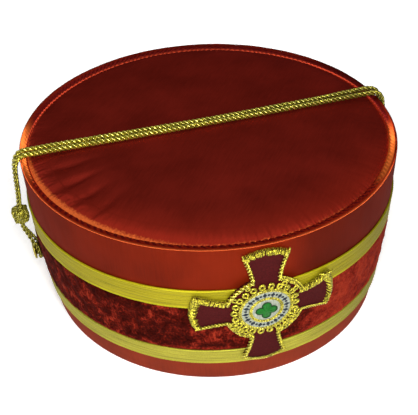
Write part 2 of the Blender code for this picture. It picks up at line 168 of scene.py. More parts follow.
# The work round each arm of the badge, in the order top, left, bottom, right: along the side that
# lies clockwise, across the end, and along the other side. A rope has one width, and laid bullion
# has widths from the start of the edge to its end, in the counter-clockwise sense.
BORDER_OVERHANG = 0.0006
ARM_BORDERS = (
    (("rope", 0.0023), ("bullion", 0.0034, 0.0031, 0.0034), ("rope", 0.0023)),
    (("bullion", 0.0030, 0.0036), ("bullion", 0.0046, 0.0038, 0.0028), ("rope", 0.0019)),
    (("rope", 0.0026), ("rope", 0.0015), ("rope", 0.0024)),
    (("rope", 0.0015), ("bullion", 0.0026, 0.0032, 0.0046), ("bullion", 0.0034, 0.0028)),
)
# How far the laid bullion leans along its edge, for each arm, and the corners with a spike
BULLION_SLANT = (0.0, 0.25, 0.0, 0.6)
SPIKES = ((-1.0, 1.0), (), (), (-1.0,))
# Between the arms, in the order upper left, lower left, lower right, upper right: the ropes, each
# with its radius and width, and the rows of curls, each with its radius and count
WREATHS = (
    (((0.0195, 0.0024),), ((0.0176, 2),)),
    (((0.0197, 0.0012),), ((0.0186, 7), (0.0172, 5))),
    (((0.0197, 0.0012),), ((0.0186, 7), (0.0172, 5))),
    (((0.0201, 0.0014), (0.0187, 0.0014)), ((0.0194, 1), (0.0174, 2))),
)

# In degrees from +X: where the painted highlight on the crown's edge is strongest, where its satin puffs most
# and folds most, which way its threads run, and where the bands are joined at the back, with how far their
# ends overlap
PAINTED_HIGHLIGHT_BEARING = 209.0
PUFF_BEARING = 205.0
FOLDS_BEARING = 203.0
THREAD_BEARING = 235.0
JOIN_BEARING = 90.0
JOIN_OVERLAP = 0.0065

# How far the backs of the braids and the velvet stand off the band
TRIM_CLEARANCE = 0.00006

# Where the turned-in rim starts along the band's section, from the hem, and how far apart the painted shade
# of its creases lies
RIM_THREAD_START = HEIGHT + (math.pi - 1.0) * WALL / 2.0
CREASE_SPACING = 0.0042

# How the crown's satin is let settle
CLOTH_PRESSURE = 4.0
CLOTH_FRAMES = 20

# The two sides by name, left negative, and a whole turn
SIDES = (("left", -1), ("right", 1))
TURN = 2.0 * math.pi

# How finely the pieces are divided
ROUND = 960                      # round the band
CROWN_ROUND = 1440               # round the crown, for its fine gathers
ROPE_SIDES = 8

# The photograph's camera: bearing, height and roll in degrees, distance in metres, frame in pixels
PHOTO_WIDTH, PHOTO_HEIGHT = 418, 415
CAMERA_BEARING, CAMERA_HEIGHT, CAMERA_ROLL = -12.904, 35.442, -2.566
CAMERA_DISTANCE = 0.5437
CAMERA_AIM = Vector((0.0, 0.0, 0.0455))
FOCAL_PIXELS = 945.5
MIDDLE_PIXEL = (210.06, 197.99)


def linear(code):
    """An sRGB hex colour as three linear values."""
    shares = [int(code[place:place + 2], 16) / 255.0 for place in (1, 3, 5)]
    return tuple(s / 12.92 if s <= 0.04045 else ((s + 0.055) / 1.055) ** 2.4 for s in shares)


class CapSizes(bpy.types.PropertyGroup):
    """Sizes of the cap's cloth and trim that a user may change."""

    gather_spacing: FloatProperty(
        name="Gather spacing", description="Distance between the stitches of the crown's seam",
        default=0.0031, min=0.001, max=0.02, unit="LENGTH")
    gather_height: FloatProperty(
        name="Gather height", description="How far the satin puffs up between two stitches",
        default=0.00011, min=0.0, max=0.002, unit="LENGTH")
    rib_count: IntProperty(
        name="Braid ribs", description="Lengthwise ribs across a gold braid", default=11, min=3, max=24)
    rib_height: FloatProperty(
        name="Rib height", description="Height of a braid's ribs",
        default=0.00022, min=0.0, max=0.001, unit="LENGTH")
    crush_depth: FloatProperty(
        name="Velvet crush", description="How unevenly the crushed pile lies",
        default=0.00045, min=0.0, max=0.002, unit="LENGTH")
    cord_pitch: FloatProperty(
        name="Cord twist", description="Length of one whole turn of the cord's three strands",
        default=0.0078, min=0.002, max=0.03, unit="LENGTH")


class CapColours(bpy.types.PropertyGroup):
    """Colours of the cap's materials."""

    band_satin: FloatVectorProperty(
        name="Band satin", description="Rust red satin of the band", subtype="COLOR",
        default=linear("#6a1a07"), min=0.0, max=1.0)
    crown_satin: FloatVectorProperty(
        name="Crown satin", description="Darker red satin of the crown", subtype="COLOR",
        default=linear("#9e2c20"), min=0.0, max=1.0)
    velvet: FloatVectorProperty(
        name="Velvet", description="Pile of the crushed velvet", subtype="COLOR",
        default=linear("#3c0a05"), min=0.0, max=1.0)
    braid: FloatVectorProperty(
        name="Braid", description="Metal thread of the flat braids", subtype="COLOR",
        default=linear("#998e12"), min=0.0, max=1.0)
    bullion: FloatVectorProperty(
        name="Bullion", description="Gilt wire of the cords and the badge", subtype="COLOR",
        default=linear("#aca230"), min=0.0, max=1.0)
    # A painted glint: the lighter colour along the outer crest of each ply of the cords, knots and badge wire
    painted_glint: FloatVectorProperty(
        name="Painted glint", description="The brighter strand along each ply of the cords", subtype="COLOR",
        default=linear("#ecdc66"), min=0.0, max=1.0)
    badge_cloth: FloatVectorProperty(
        name="Badge cloth", description="Maroon cloth of the cross", subtype="COLOR",
        default=linear("#3f0e0f"), min=0.0, max=1.0)
    silk: FloatVectorProperty(
        name="Silk", description="White silk of the medallion", subtype="COLOR",
        default=linear("#989e8d"), min=0.0, max=1.0)
    leaf: FloatVectorProperty(
        name="Rosette", description="Green silk of the rosette", subtype="COLOR",
        default=linear("#0b6413"), min=0.0, max=1.0)


# Places on the cap

def half_sizes(height, outwards=0.0):
    """Half width and half length of the band's outer face at a height, moved outwards."""
    share = np.clip(height / HEIGHT, 0.0, 1.0)
    grow = FLARE * (share - 1.0) + BELLY * 4.0 * share * (1.0 - share) + outwards
    return FOLD_HALF_WIDTH + grow, FOLD_HALF_LENGTH + grow


def side_x(height, y, outwards=0.0):
    """Half width of the band at a height, on the line with this y."""
    half_width, half_length = half_sizes(height, outwards)
    return half_width * math.sqrt(max(1.0 - (y / half_length) ** 2, 0.0))


def oval(turn, half_width, half_length, level):
    """Points at bearings on an upright oval."""
    places = np.broadcast_arrays(half_width * np.cos(turn), half_length * np.sin(turn), level)
    return np.stack(places, axis=-1)


def rings(turn, radius, level):
    """Points at bearings, distances from an upright axis and levels."""
    return oval(turn, radius, radius, level)


def on_band(turn, height, outwards=0.0):
    """Points on the band's outer face at bearings and heights, moved outwards."""
    return oval(turn, *half_sizes(height, outwards), height)


def circle(count):
    """Angles all round in equal steps, with the first one once more at the end."""
    return np.linspace(0.0, TURN, count + 1)


def bearings(count):
    """Bearings round the cap as a column, starting at the back, where every band is joined."""
    return (math.radians(JOIN_BEARING) + TURN * np.arange(count) / count)[:, None]


def degrees_from(bearing, middle):
    """Degrees from one bearing to another, between -180 and 180."""
    return (np.degrees(bearing) - middle + 180.0) % 360.0 - 180.0


def round_places(count):
    """Thread places in metres round the cap, one more than the bearings."""
    return np.arange(count + 1) * (TURN * FOLD_HALF_LENGTH / count)


def eased(share):
    """A share from 0 to 1 that starts and stops softly."""
    share = np.clip(share, 0.0, 1.0)
    return share * share * (3.0 - 2.0 * share)


def domed(share, power=2.0):
    """The height of a dome of one at a share of the way from its middle to its edge."""
    return np.sqrt(np.clip(1.0 - np.abs(share) ** power, 0.0, 1.0))


def cloud(points, size, octaves=3, upright=1.0):
    """Smooth noise between about -1 and 1 at points, with lumps of this size, taller with a small upright."""
    flat = points.reshape(-1, 3) * (1.0, 1.0, upright) / size
    values = [noise.fractal(point, 0.8, 2.1, octaves) for point in flat.tolist()]
    return np.array(values).reshape(points.shape[:-1])


def rim_share(turn):
    """The rim's width at a bearing as a share of RIM_WIDTH: the seam comes nearer the fold on both sides."""
    return 1.0 - 0.28 * np.abs(np.cos(turn)) ** 5


def gather_phase(turn, spacing):
    """The phase of the crown seam's stitches, which run a little unevenly round the cap."""
    phase = round(TURN * (FOLD_HALF_LENGTH - RIM_WIDTH) / spacing) * turn
    for swing, waves, start in ((0.9, 7.0, 0.4), (0.8, 17.0, 2.1), (0.7, 31.0, 1.0)):
        phase = phase + swing * np.sin(waves * turn + start)
    return phase


# Meshes

class Shape:
    """Points, faces and thread places gathered for one mesh. Thread places are metres along the cloth."""

    def __init__(self):
        self.points, self.faces, self.places, self.looks = [], [], [], []
        self.count = 0

    def add_points(self, points):
        """Adds points and gives the number of the first."""
        start = self.count
        flat = np.asarray(points, float).reshape(-1, 3)
        self.points.append(flat)
        self.count += len(flat)
        return start

    def add_faces(self, corners, places, look=0):
        """Adds faces of one size, each corner with its thread place."""
        self.faces.append(np.asarray(corners))
        self.places.append(np.broadcast_to(places, corners.shape + (2,)))
        self.looks.append(np.broadcast_to(look, len(corners)))

    def add_grid(self, points, along, around, rows_close=False, columns_close=False, look=0, swapped=False):
        """Adds rows and columns of points, joined by four-sided faces. look may differ from face to face, and
        swapped takes the columns as running along the thread."""
        rows, columns = points.shape[:2]
        start = self.add_points(points)
        row, column = np.meshgrid(
            np.arange(rows if rows_close else rows - 1),
            np.arange(columns if columns_close else columns - 1), indexing="ij")
        corners, places = [], []
        for r, c in ((row, column), (row, column + 1), (row + 1, column + 1), (row + 1, column)):
            corners.append((start + (r % rows) * columns + c % columns).ravel())
            pair = (around[c], along[r]) if swapped else (along[r], around[c])
            places.append(np.stack(pair, axis=-1).reshape(-1, 2))
        looks = np.broadcast_to(look, row.shape).ravel()
        self.add_faces(np.stack(corners, axis=-1), np.stack(places, axis=1), looks)
        return start

    def add_cap(self, ring, middle, look=0):
        """Closes a ring of point numbers with a fan round a middle point."""
        centre = self.add_points(middle)
        ring = np.asarray(ring)
        faces = np.stack((ring, np.roll(ring, -1), np.full(len(ring), centre)), axis=-1)
        self.add_faces(faces, np.zeros(2), look)

    def close_ends(self, first, points, look=0, bend=None):
        """Closes the first and the last row of a grid round their middles, which bend lays on a form."""
        rows, columns = points.shape[:2]
        for row in (0, rows - 1):
            middle = points[row].mean(axis=0)
            ring = first + row * columns + np.arange(columns)
            self.add_cap(ring, bend(middle) if bend else middle, look)

    def make(self, name, *looks):
        """The finished mesh object, smooth, with its faces pointing out."""
        mesh = bpy.data.meshes.new(name)
        sizes = np.concatenate([np.full(len(faces), faces.shape[1]) for faces in self.faces])
        corners = np.concatenate([faces.ravel() for faces in self.faces])
        mesh.vertices.add(self.count)
        mesh.vertices.foreach_set("co", np.concatenate(self.points).ravel())
        mesh.loops.add(len(corners))
        mesh.loops.foreach_set("vertex_index", corners.astype(np.int32))
        mesh.polygons.add(len(sizes))
        mesh.polygons.foreach_set("loop_start", (np.cumsum(sizes) - sizes).astype(np.int32))
        mesh.polygons.foreach_set("material_index", np.concatenate(self.looks).astype(np.int32))
        layer = mesh.uv_layers.new(name="threads")
        places = np.concatenate([part.reshape(-1, 2) for part in self.places])
        layer.uv.foreach_set("vector", places.astype(np.float32).ravel())
        mesh.validate()
        shape = bmesh.new()
        shape.from_mesh(mesh)
        bmesh.ops.recalc_face_normals(shape, faces=shape.faces)
        shape.to_mesh(mesh)
        shape.free()
        mesh.shade_smooth()
        for look in looks:
            mesh.materials.append(look)
        made = bpy.data.objects.new(name, mesh)
        bpy.context.scene.collection.objects.link(made)
        return made


def seat(piece, slot, *nodes):
    """Puts a finished piece on the cap in place of its plain solids."""
    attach(piece, "root")
    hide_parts(*nodes)
    return piece


def smooth_path(points, step):
    """Points of a smooth curve through the chosen points, about one step apart."""
    points = np.asarray(points, float)
    before = np.vstack((points[:1], points[:-2]))
    after = np.vstack((points[2:], points[-1:]))
    path = []
    for p0, p1, p2, p3 in zip(before, points[:-1], points[1:], after):
        pieces = max(1, round(np.linalg.norm(p2 - p1) / step))
        t = (np.arange(pieces) / pieces)[:, None]
        path.append(0.5 * (2.0 * p1 + (p2 - p0) * t + (2.0 * p0 - 5.0 * p1 + 4.0 * p2 - p3) * t ** 2
                           + (3.0 * p1 - p0 - 3.0 * p2 + p3) * t ** 3))
    path.append(points[-1:])
    return np.vstack(path)


def lengths_along(path, closed=False):
    """Distance along a path at each point, and back at the first point if it is closed."""
    ends = np.vstack((path, path[:1])) if closed else path
    steps = np.linalg.norm(np.diff(ends, axis=0), axis=1)
    return np.concatenate(([0.0], np.cumsum(steps)))


def even_path(path, step, closed=False):
    """The same path with its points evenly spaced, about one step apart."""
    ends = np.vstack((path, path[:1])) if closed else path
    reached = lengths_along(path, closed)
    pieces = max(4, round(reached[-1] / step))
    wanted = np.linspace(0.0, reached[-1], pieces + 1)
    even = np.stack([np.interp(wanted, reached, column) for column in ends.T], axis=-1)
    return even[:-1] if closed else even


def tangents(path, closed=False):
    """Unit directions along a path."""
    if closed:
        ahead = np.roll(path, -1, axis=0) - np.roll(path, 1, axis=0)
    else:
        ahead = np.gradient(path, axis=0)
    return ahead / np.linalg.norm(ahead, axis=1)[:, None]


def carried_sides(path, first_side):
    """Directions square to an open path, carried along it without needless turning."""
    ahead = tangents(path)
    side = np.asarray(first_side, float)
    sides = []
    for direction in ahead:
        side = side - direction * side.dot(direction)
        side = side / np.linalg.norm(side)
        sides.append(side)
    sides = np.array(sides)
    return sides, np.cross(ahead, sides)


def add_rope(shape, path, sides, diameter, plies, pitch, closed=False, flat=1.0, start=0.0, bend=None,
             unevenness=0.0, bright=1):
    """Twists plies round a path. sides holds the two directions square to it, bend lays the result on a form,
    and bright is the look of the painted glint that runs along the outer crest of each ply."""
    beside, above = sides
    reached = lengths_along(path, closed)
    turns = reached / pitch
    if closed:
        turns = np.linspace(0.0, max(1, round(reached[-1] / pitch)), len(reached))
    ply = diameter / 2.0 / (1.0 + 1.0 / math.sin(math.pi / plies))
    offset = diameter / 2.0 - ply
    around = circle(ROPE_SIDES)
    ring = around[:-1][None, :, None]
    # The outward face of each ply takes the look of the painted glint
    strands = np.where(np.arange(ROPE_SIDES) == 0, bright, 0)
    for number in range(plies):
        twist = (TURN * (turns[:len(path)] + number / plies) + start)[:, None]
        waves = reached[:len(path), None] / diameter * (2.3 + 0.9 * number) + 1.7 * number
        swell = 1.0 + unevenness * np.sin(waves)
        out = np.cos(twist) * beside + flat * np.sin(twist) * above
        on = -np.sin(twist) * beside + flat * np.cos(twist) * above
        middle = path + offset * out
        points = middle[:, None] + ply * swell[:, None] * (
            np.cos(ring) * out[:, None] + 1.12 * np.sin(ring) * on[:, None])
        if bend is not None:
            points = bend(points)
        first = shape.add_grid(points, reached, around * ply, rows_close=closed, columns_close=True,
                               look=strands)
        if not closed:
            shape.close_ends(first, points)


# Materials

def add_node(tree, kind, links=(), out=0, **settings):
    """Adds one shader node and gives one of its outputs. Each link names an input of the node and gives the
    value or the socket that feeds it."""
    made = tree.nodes.new("ShaderNode" + kind)
    for name, value in settings.items():
        setattr(made, name, value)
    for place, value in links:
        if isinstance(value, bpy.types.NodeSocket):
            tree.links.new(value, made.inputs[place])
        else:
            made.inputs[place].default_value = value
    return made.outputs[out]


def dressed(look, **sockets):
    """The look with sockets of its shader set or fed by a node. Their names have _ for a space."""
    tree = look.node_tree
    shader = tree.nodes["Principled BSDF"]
    for name, value in sockets.items():
        socket = shader.inputs[name.replace("_", " ")]
        if isinstance(value, bpy.types.NodeSocket):
            tree.links.new(value, socket)
        else:
            socket.default_value = (*value, 1.0) if isinstance(value, tuple) else value
    return look


def new_look(name, **sockets):
    """A material with a Principled shader, and its node tree."""
    look = bpy.data.materials.new(name)
    look.use_nodes = True
    return dressed(look, **sockets), look.node_tree


def thread_places(tree, along, across):
    """Places along and across the cloth, in units of the pattern's two sizes in metres."""
    where = add_node(tree, "UVMap", uv_map="threads")
    sizes = (1.0 / along, 1.0 / across, 1.0)
    return add_node(tree, "VectorMath", [(0, where), (1, sizes)], operation="MULTIPLY")


def streaks(tree, along, across, detail, *more):
    """Random streaks that follow the threads, of these sizes in metres."""
    links = [("Vector", thread_places(tree, along, across)), ("Scale", 1.0), ("Detail", detail), *more]
    return add_node(tree, "TexNoise", links)


def grains(tree, size, detail, *more):
    """Random grains in the cap's own space, of this size in metres."""
    where = add_node(tree, "TexCoord", out="Object")
    return add_node(tree, "TexNoise", [("Vector", where), ("Scale", 1.0 / size), ("Detail", detail), *more])


def cap_axes(tree):
    """The place in the cap's own space, in metres to the right, to the back and up."""
    where = add_node(tree, "TexCoord", out="Object")
    return add_node(tree, "SeparateXYZ", [(0, where)]).node.outputs


def across_cloth(tree):
    """The distance across the cloth, in metres from its first edge."""
    where = add_node(tree, "UVMap", uv_map="threads")
    return add_node(tree, "SeparateXYZ", [(0, where)], out=1)


def shades(tree, value, colour, *stops):
    """Shades of a colour blended along a value. Each stop is a place from 0 to 1, and how much lighter or
    darker the colour is there, or another colour in its place."""
    made = add_node(tree, "ValToRGB", [(0, value)])
    elements = made.node.color_ramp.elements
    while len(elements) < len(stops):
        elements.new(0.5)
    for element, (place, shade) in zip(elements, stops):
        element.position = place
        element.color = (*(shade if isinstance(shade, tuple) else dimmed(colour, shade)), 1.0)
    return made


def dimmed(colour, share):
    """The same colour, lighter or darker."""
    return tuple(min(value * share, 1.0) for value in colour)


def combined(tree, operation, *values):
    """Several values multiplied, added or compared, one after another."""
    total = values[0]
    for value in values[1:]:
        total = add_node(tree, "Math", [(0, total), (1, value)], operation=operation)
    return total


def region(tree, *edges, amount=1.0):
    """The amount inside a region with soft edges. Each edge is a value, where the region starts along it
    and where it is full."""
    for value, start, full in edges:
        links = [(0, value), (1, start), (2, full), (4, amount)]
        amount = add_node(tree, "MapRange", links, interpolation_type="SMOOTHSTEP")
    return amount


def overlaid(tree, tone, *layers):
    """A tone with other colours laid over it in turn. Each layer is its share and its linear colour."""
    for share, colour in layers:
        links = [("Factor", share), (6, tone), (7, (*colour, 1.0))]
        tone = add_node(tree, "Mix", links, out=2, data_type="RGBA")
    return tone


def painted_light_on_band(tree, tone):
    """Painted light and shade on the band's satin: painted light left of the badge and painted shade right of
    it.
    """
    right = cap_axes(tree)[0]
    lit = region(tree, (right, -0.045, -0.012), (right, 0.018, 0.008), amount=0.35)
    # How strong the painted shade right of the badge is: most just right of it, less far to the right
    tone_shift = combined(tree, "ADD", region(tree, (right, 0.075, 0.042), amount=0.20), 0.30)
    painted_shade_right = region(tree, (right, 0.010, 0.028), amount=tone_shift)
    return overlaid(tree, tone, (lit, linear("#8a260c")), (painted_shade_right, linear("#2a0401")))


def painted_highlight_at_crown_edge(tree, tone):
    """Painted highlight on the crown's satin: orange along its edge by the seam, most at the left front, and
    painted light that makes it redder towards the front."""
    where = add_node(tree, "TexCoord", out="Object")
    spread = (1.0 / (FOLD_HALF_WIDTH - 0.72 * RIM_WIDTH), 1.0 / (FOLD_HALF_LENGTH - RIM_WIDTH), 0.0)
    plan = add_node(tree, "VectorMath", [(0, where), (1, spread)], operation="MULTIPLY")
    reach = add_node(tree, "VectorMath", [(0, plan)], out="Value", operation="LENGTH")
    side = math.radians(PAINTED_HIGHLIGHT_BEARING)
    towards = (0.120 * math.cos(side), 0.120 * math.sin(side), 0.0)
    lean = add_node(tree, "VectorMath", [(0, plan), (1, towards)], out="Value", operation="DOT_PRODUCT")
    strongest = combined(tree, "MAXIMUM", combined(tree, "ADD", lean, -0.066), 0.022)
    ragged_edge = combined(tree, "MULTIPLY", grains(tree, 0.0011, 3.0), 0.036)
    # Painted highlight: an orange band along the crown's edge, with a ragged inner side
    painted_edge_highlight = region(tree, (combined(tree, "ADD", reach, strongest, ragged_edge), 1.030, 1.054))
    # Painted light: redder towards the front of the crown's edge
    painted_front_light = region(tree, (reach, 0.70, 1.02), (cap_axes(tree)[1], -0.02, -0.07), amount=0.34)
    return overlaid(tree, tone, (painted_front_light, linear("#de3e26")), (painted_edge_highlight, linear("#ff7c3c")))


def painted_light_on_rim(tree, tone):
    """Painted light and shade on the turned-in satin: painted shade at the back, on the right and in the
    creases inside, and painted highlights on the pressed line outside, along the seam at the back and in
    orange on both sides.
    """
    right, back, _ = cap_axes(tree)
    inwards = combined(tree, "SUBTRACT", across_cloth(tree), RIM_THREAD_START)
    # The creases are painted shade in diagonal strokes over the inner part of the rim
    places = thread_places(tree, CREASE_SPACING, CREASE_SPACING)
    creases = add_node(tree, "TexWave", [("Vector", places), ("Scale", 0.628), ("Distortion", 3.0),
                                         ("Detail", 2.0)], out=1, bands_direction="DIAGONAL")
    strokes = combined(tree, "ADD", region(tree, (creases, 0.30, 0.70), amount=0.55), 0.40)
    painted_crease_shade = region(tree, (inwards, 0.0017, 0.0029), amount=strokes)
    # Painted shade at the back and on the right, and painted highlights on both sides and along the seam at
    # the back
    painted_shade_behind = region(tree, (back, -0.020, 0.035), amount=0.85)
    off_light = combined(tree, "MAXIMUM", region(tree, (inwards, 0.0022, 0.0010), amount=0.8),
                         region(tree, (back, -0.040, -0.012), amount=0.8))
    painted_shade_right = region(tree, (right, 0.076, 0.092), amount=off_light)
    painted_highlight_right = region(tree, (right, 0.064, 0.080), (back, -0.016, -0.042), (back, -0.086, -0.068),
                      (inwards, 0.0011, 0.0022))
    painted_highlight_left = region(tree, (right, -0.088, -0.098), (back, 0.050, 0.024), (back, -0.026, -0.006),
                     (inwards, 0.0056, 0.0040))
    painted_seam_highlight = region(tree, (back, -0.044, -0.010), (inwards, 0.0047, 0.0056), amount=0.9)
    # Painted highlight along the pressed fold at the front
    pressed = region(tree, (back, 0.030, -0.030), (right, 0.088, 0.074), (inwards, 0.0014, 0.0010))
    return overlaid(
        tree, tone, (painted_shade_behind, linear("#781c10")), (painted_shade_right, linear("#480e08")),
        (painted_crease_shade, linear("#74181a")), (combined(tree, "MAXIMUM", painted_highlight_right, painted_highlight_left), linear("#ec7834")),
        (painted_seam_highlight, linear("#d44c30")), (pressed, linear("#e06434")))


def satin_look(name, colour, gloss, placed=None):
    """Acetate satin, woven: long floats that shine only across their own direction. placed paints light and
    shade into its tone by the place on the cap."""
    look, tree = new_look(
        name, Roughness=0.60, Metallic=gloss, IOR=1.48, Specular_IOR_Level=0.2,
        Specular_Tint=linear("#d0481c"), Anisotropic=1.0)
    # Real floats are 0.3 mm wide and would not show, so the lines are drawn 0.8 mm apart
    lines = streaks(tree, 0.0008, 0.012, 3.0)
    both = add_node(tree, "Mix", [("Factor", 0.65), (2, lines), (3, grains(tree, 0.022, 4.0))])
    tone = shades(tree, both, colour, (0.34, 0.80), (0.66, 1.20))
    if placed:
        tone = placed(tree, tone)
    weave = add_node(tree, "Bump", [("Height", lines), ("Distance", 0.00005), ("Strength", 0.35)])
    across = add_node(tree, "Tangent", direction_type="UV_MAP", uv_map="threads")
    return dressed(look, Base_Color=tone, Normal=weave, Tangent=across)


def lining_look(colour):
    """Plain cotton lining, woven: dull, with a fine grain."""
    look, tree = new_look("cotton_lining", Roughness=0.85, IOR=1.50)
    grain = grains(tree, 0.0008, 2.0)
    tone = shades(tree, grain, colour, (0.3, 0.45), (0.7, 0.65))
    rough = add_node(tree, "Bump", [("Height", grain), ("Distance", 0.0001), ("Strength", 0.4)])
    return dressed(look, Base_Color=tone, Normal=rough)


def velvet_look(colour):
    """Crushed rayon velvet: nearly black where the pile faces the eye, with rust red wisps where it lies
    over."""
    look, tree = new_look(
        "crushed_rayon_velvet", Roughness=0.85, IOR=1.47, Specular_IOR_Level=0.02,
        Sheen_Weight=0.08, Sheen_Roughness=0.40, Sheen_Tint=linear("#c03414"))
    ridges = combined(tree, "SUBTRACT", streaks(tree, 0.0060, 0.0125, 2.5, ("Distortion", 1.1)), 0.5)
    off_ridge = add_node(tree, "Math", [(0, ridges)], operation="ABSOLUTE")
    clumps = grains(tree, 0.0080, 4.0, ("Roughness", 0.6), ("Distortion", 0.5))
    wisps = region(tree, (off_ridge, 0.045, 0.0), (clumps, 0.46, 0.66), amount=0.22)
    pile = add_node(tree, "Mix", [("Factor", 0.40), (2, clumps), (3, grains(tree, 0.0011, 3.0))])
    # Painted sheen: the pile is lighter on the front right and along its lower edge
    painted_sheen_right = region(tree, (cap_axes(tree)[0], 0.012, 0.040), amount=0.17)
    painted_edge_sheen = region(tree, (across_cloth(tree), 0.0040, 0.0008), amount=0.10)
    lie = combined(tree, "ADD", pile, wisps, painted_sheen_right, painted_edge_sheen)
    tone = shades(tree, lie, colour, (0.38, 0.35), (0.50, 1.0), (0.62, 3.2), (0.80, linear("#8c2c1a")))
    crush = add_node(tree, "Bump", [("Height", lie), ("Distance", 0.0010), ("Strength", 0.6)])
    return dressed(look, Base_Color=tone, Normal=crush)


def braid_look(name, colour):
    """Metallised polyester braid, woven: dull greenish gold ribs with small bright crossings."""
    look, tree = new_look(
        name, Roughness=0.50, Metallic=0.45, IOR=1.5, Specular_IOR_Level=0.4,
        Specular_Tint=linear("#ece6b6"))
    # Threads lie 0.25 mm apart, drawn 0.7 mm apart so that the crossings show
    crossings, runs = streaks(tree, 0.0007, 0.0005, 2.0), streaks(tree, 0.030, 0.0009, 2.0)
    both = add_node(tree, "Mix", [("Factor", 0.6), (2, crossings), (3, runs)])
    tone = shades(tree, both, colour, (0.36, 0.66), (0.50, 1.0), (0.64, 1.25))
    # Painted shade: the braid is darker on the right side of the cap
    painted_braid_shade = region(tree, (cap_axes(tree)[0], 0.015, 0.080), amount=0.75)
    relief = add_node(tree, "Bump", [("Height", both), ("Distance", 0.0002), ("Strength", 0.6)])
    return dressed(look, Base_Color=overlaid(tree, tone, (painted_braid_shade, dimmed(colour, 0.45))), Normal=relief)


def painted_shade_on_gilt(tree, tone):
    """Painted shade on the cord's gilt: darker towards the right of the crown and where it hangs down the
    sides.
    """
    right, _, up = cap_axes(tree)
    share = combined(tree, "MAXIMUM", region(tree, (right, -0.080, 0.110), amount=0.65),
                     region(tree, (up, 0.094, 0.086), amount=0.58))
    return add_node(tree, "Mix", [("Factor", share), (6, tone), (7, (0.3, 0.3, 0.3, 1.0))], out=2,
                    data_type="RGBA", blend_type="MULTIPLY")


def bullion_look(name, colour, thread, placed=None):
    """Gilt wire wound on a core: bright metal, with painted glints scattered over it. placed paints shade
    into its tone by the place on the cap."""
    look, tree = new_look(name, Roughness=0.32, Metallic=0.75)
    # The wire is 0.15 mm thick, drawn thicker so that its winding shows
    places = thread_places(tree, thread, thread * 1.6)
    winding = add_node(tree, "TexWave", [("Vector", places), ("Scale", 0.314), ("Distortion", 1.2),
                                         ("Detail", 1.0)], out=1, bands_direction="DIAGONAL")
    glints = grains(tree, 0.0007, 1.0)
    tone = shades(tree, glints, colour, (0.32, 0.36), (0.50, 1.0), (0.66, 2.2))
    if placed:
        tone = placed(tree, tone)
    both = add_node(tree, "Mix", [("Factor", 0.5), (2, winding), (3, glints)])
    relief = add_node(tree, "Bump", [("Height", both), ("Distance", 0.00022), ("Strength", 0.7)])
    return dressed(look, Base_Color=tone, Normal=relief)


def gilt_pair(colours, thread, name, glint_name, placed=None):
    """The gilt look of a cord or wire, and the paler look of the painted glint along the crest of each ply.
    """
    return (bullion_look(name, tuple(colours.bullion), thread, placed),
            bullion_look(glint_name, tuple(colours.painted_glint), thread, placed))


def brass_look(colour):
    """Gilt brass, stamped and polished: a smooth greenish gold with faint rub marks."""
    look, tree = new_look("gilt_stamped_brass", Roughness=0.28, Metallic=1.0)
    wear = grains(tree, 0.0015, 3.0)
    tone = shades(tree, wear, colour, (0.35, 0.75), (0.65, 1.1))
    rubbed = add_node(tree, "MapRange", [(0, wear), (3, 0.22), (4, 0.42)])
    return dressed(look, Base_Color=tone, Roughness=rubbed)


def felt_look(colour):
    """Wool cloth, pressed and fulled: dull maroon with a short nap."""
    look, tree = new_look(
        "fulled_wool_cloth", Roughness=0.95, IOR=1.5, Specular_IOR_Level=0.08, Sheen_Weight=0.04,
        Sheen_Roughness=0.6, Sheen_Tint=linear("#a04848"))
    nap = grains(tree, 0.0007, 4.0)
    tone = shades(tree, nap, colour, (0.30, 0.70), (0.70, 1.25))
    fuzz = add_node(tree, "Bump", [("Height", nap), ("Distance", 0.0003), ("Strength", 0.6)])
    return dressed(look, Base_Color=tone, Normal=fuzz)


def silk_look(name, colour):
    """Filament silk, laid in satin stitch: soft gloss that runs along the stitches."""
    look, tree = new_look(name, Roughness=0.42, IOR=1.55, Specular_IOR_Level=0.15)
    # Stitches are 0.2 mm wide, drawn 0.45 mm wide so that they show
    stitches = streaks(tree, 0.00045, 0.004, 2.0)
    tone = shades(tree, stitches, colour, (0.32, 0.62), (0.66, 1.10))
    relief = add_node(tree, "Bump", [("Height", stitches), ("Distance", 0.0002), ("Strength", 0.6)])
    return dressed(look, Base_Color=tone, Normal=relief)


def floor_look():
    """Opal acrylic sheet, cast and faintly lit from below: pale and plain, with the cap's soft shadow."""
    look, tree = new_look("cast_opal_acrylic", Roughness=0.9, Specular_IOR_Level=0.1,
                          Emission_Color=(1.0, 1.0, 1.0), Emission_Strength=0.40)
    tone = shades(tree, grains(tree, 0.2, 2.0), linear("#f9f8f6"), (0.3, 1.0), (0.7, linear("#fdfcfa")))
    return dressed(look, Base_Color=tone)


# Stage

def add_camera():
    """The camera at the photograph's angle, with its roll and framing."""
    bearing, height, roll = (math.radians(a) for a in (CAMERA_BEARING, CAMERA_HEIGHT, CAMERA_ROLL))
    level = math.cos(height)
    back = Vector((math.sin(bearing) * level, -math.cos(bearing) * level, math.sin(height)))
    right = Vector((math.cos(bearing), math.sin(bearing), 0.0))
    up = back.cross(right)
    rolled_right = right * math.cos(roll) + up * math.sin(roll)
    rolled_up = up * math.cos(roll) - right * math.sin(roll)
    lens = bpy.data.cameras.new("camera")
    lens.sensor_width = 36.0
    lens.lens = FOCAL_PIXELS * lens.sensor_width / PHOTO_WIDTH
    lens.shift_x = (PHOTO_WIDTH / 2.0 - MIDDLE_PIXEL[0]) / PHOTO_WIDTH
    lens.shift_y = (MIDDLE_PIXEL[1] - PHOTO_HEIGHT / 2.0) / PHOTO_WIDTH
    camera = bpy.data.objects.new("camera", lens)
    bpy.context.scene.collection.objects.link(camera)
    camera.matrix_world = Matrix.Translation(CAMERA_AIM + back * CAMERA_DISTANCE) @ Matrix(
        (rolled_right, rolled_up, back)).transposed().to_4x4()
    bpy.context.scene.camera = camera


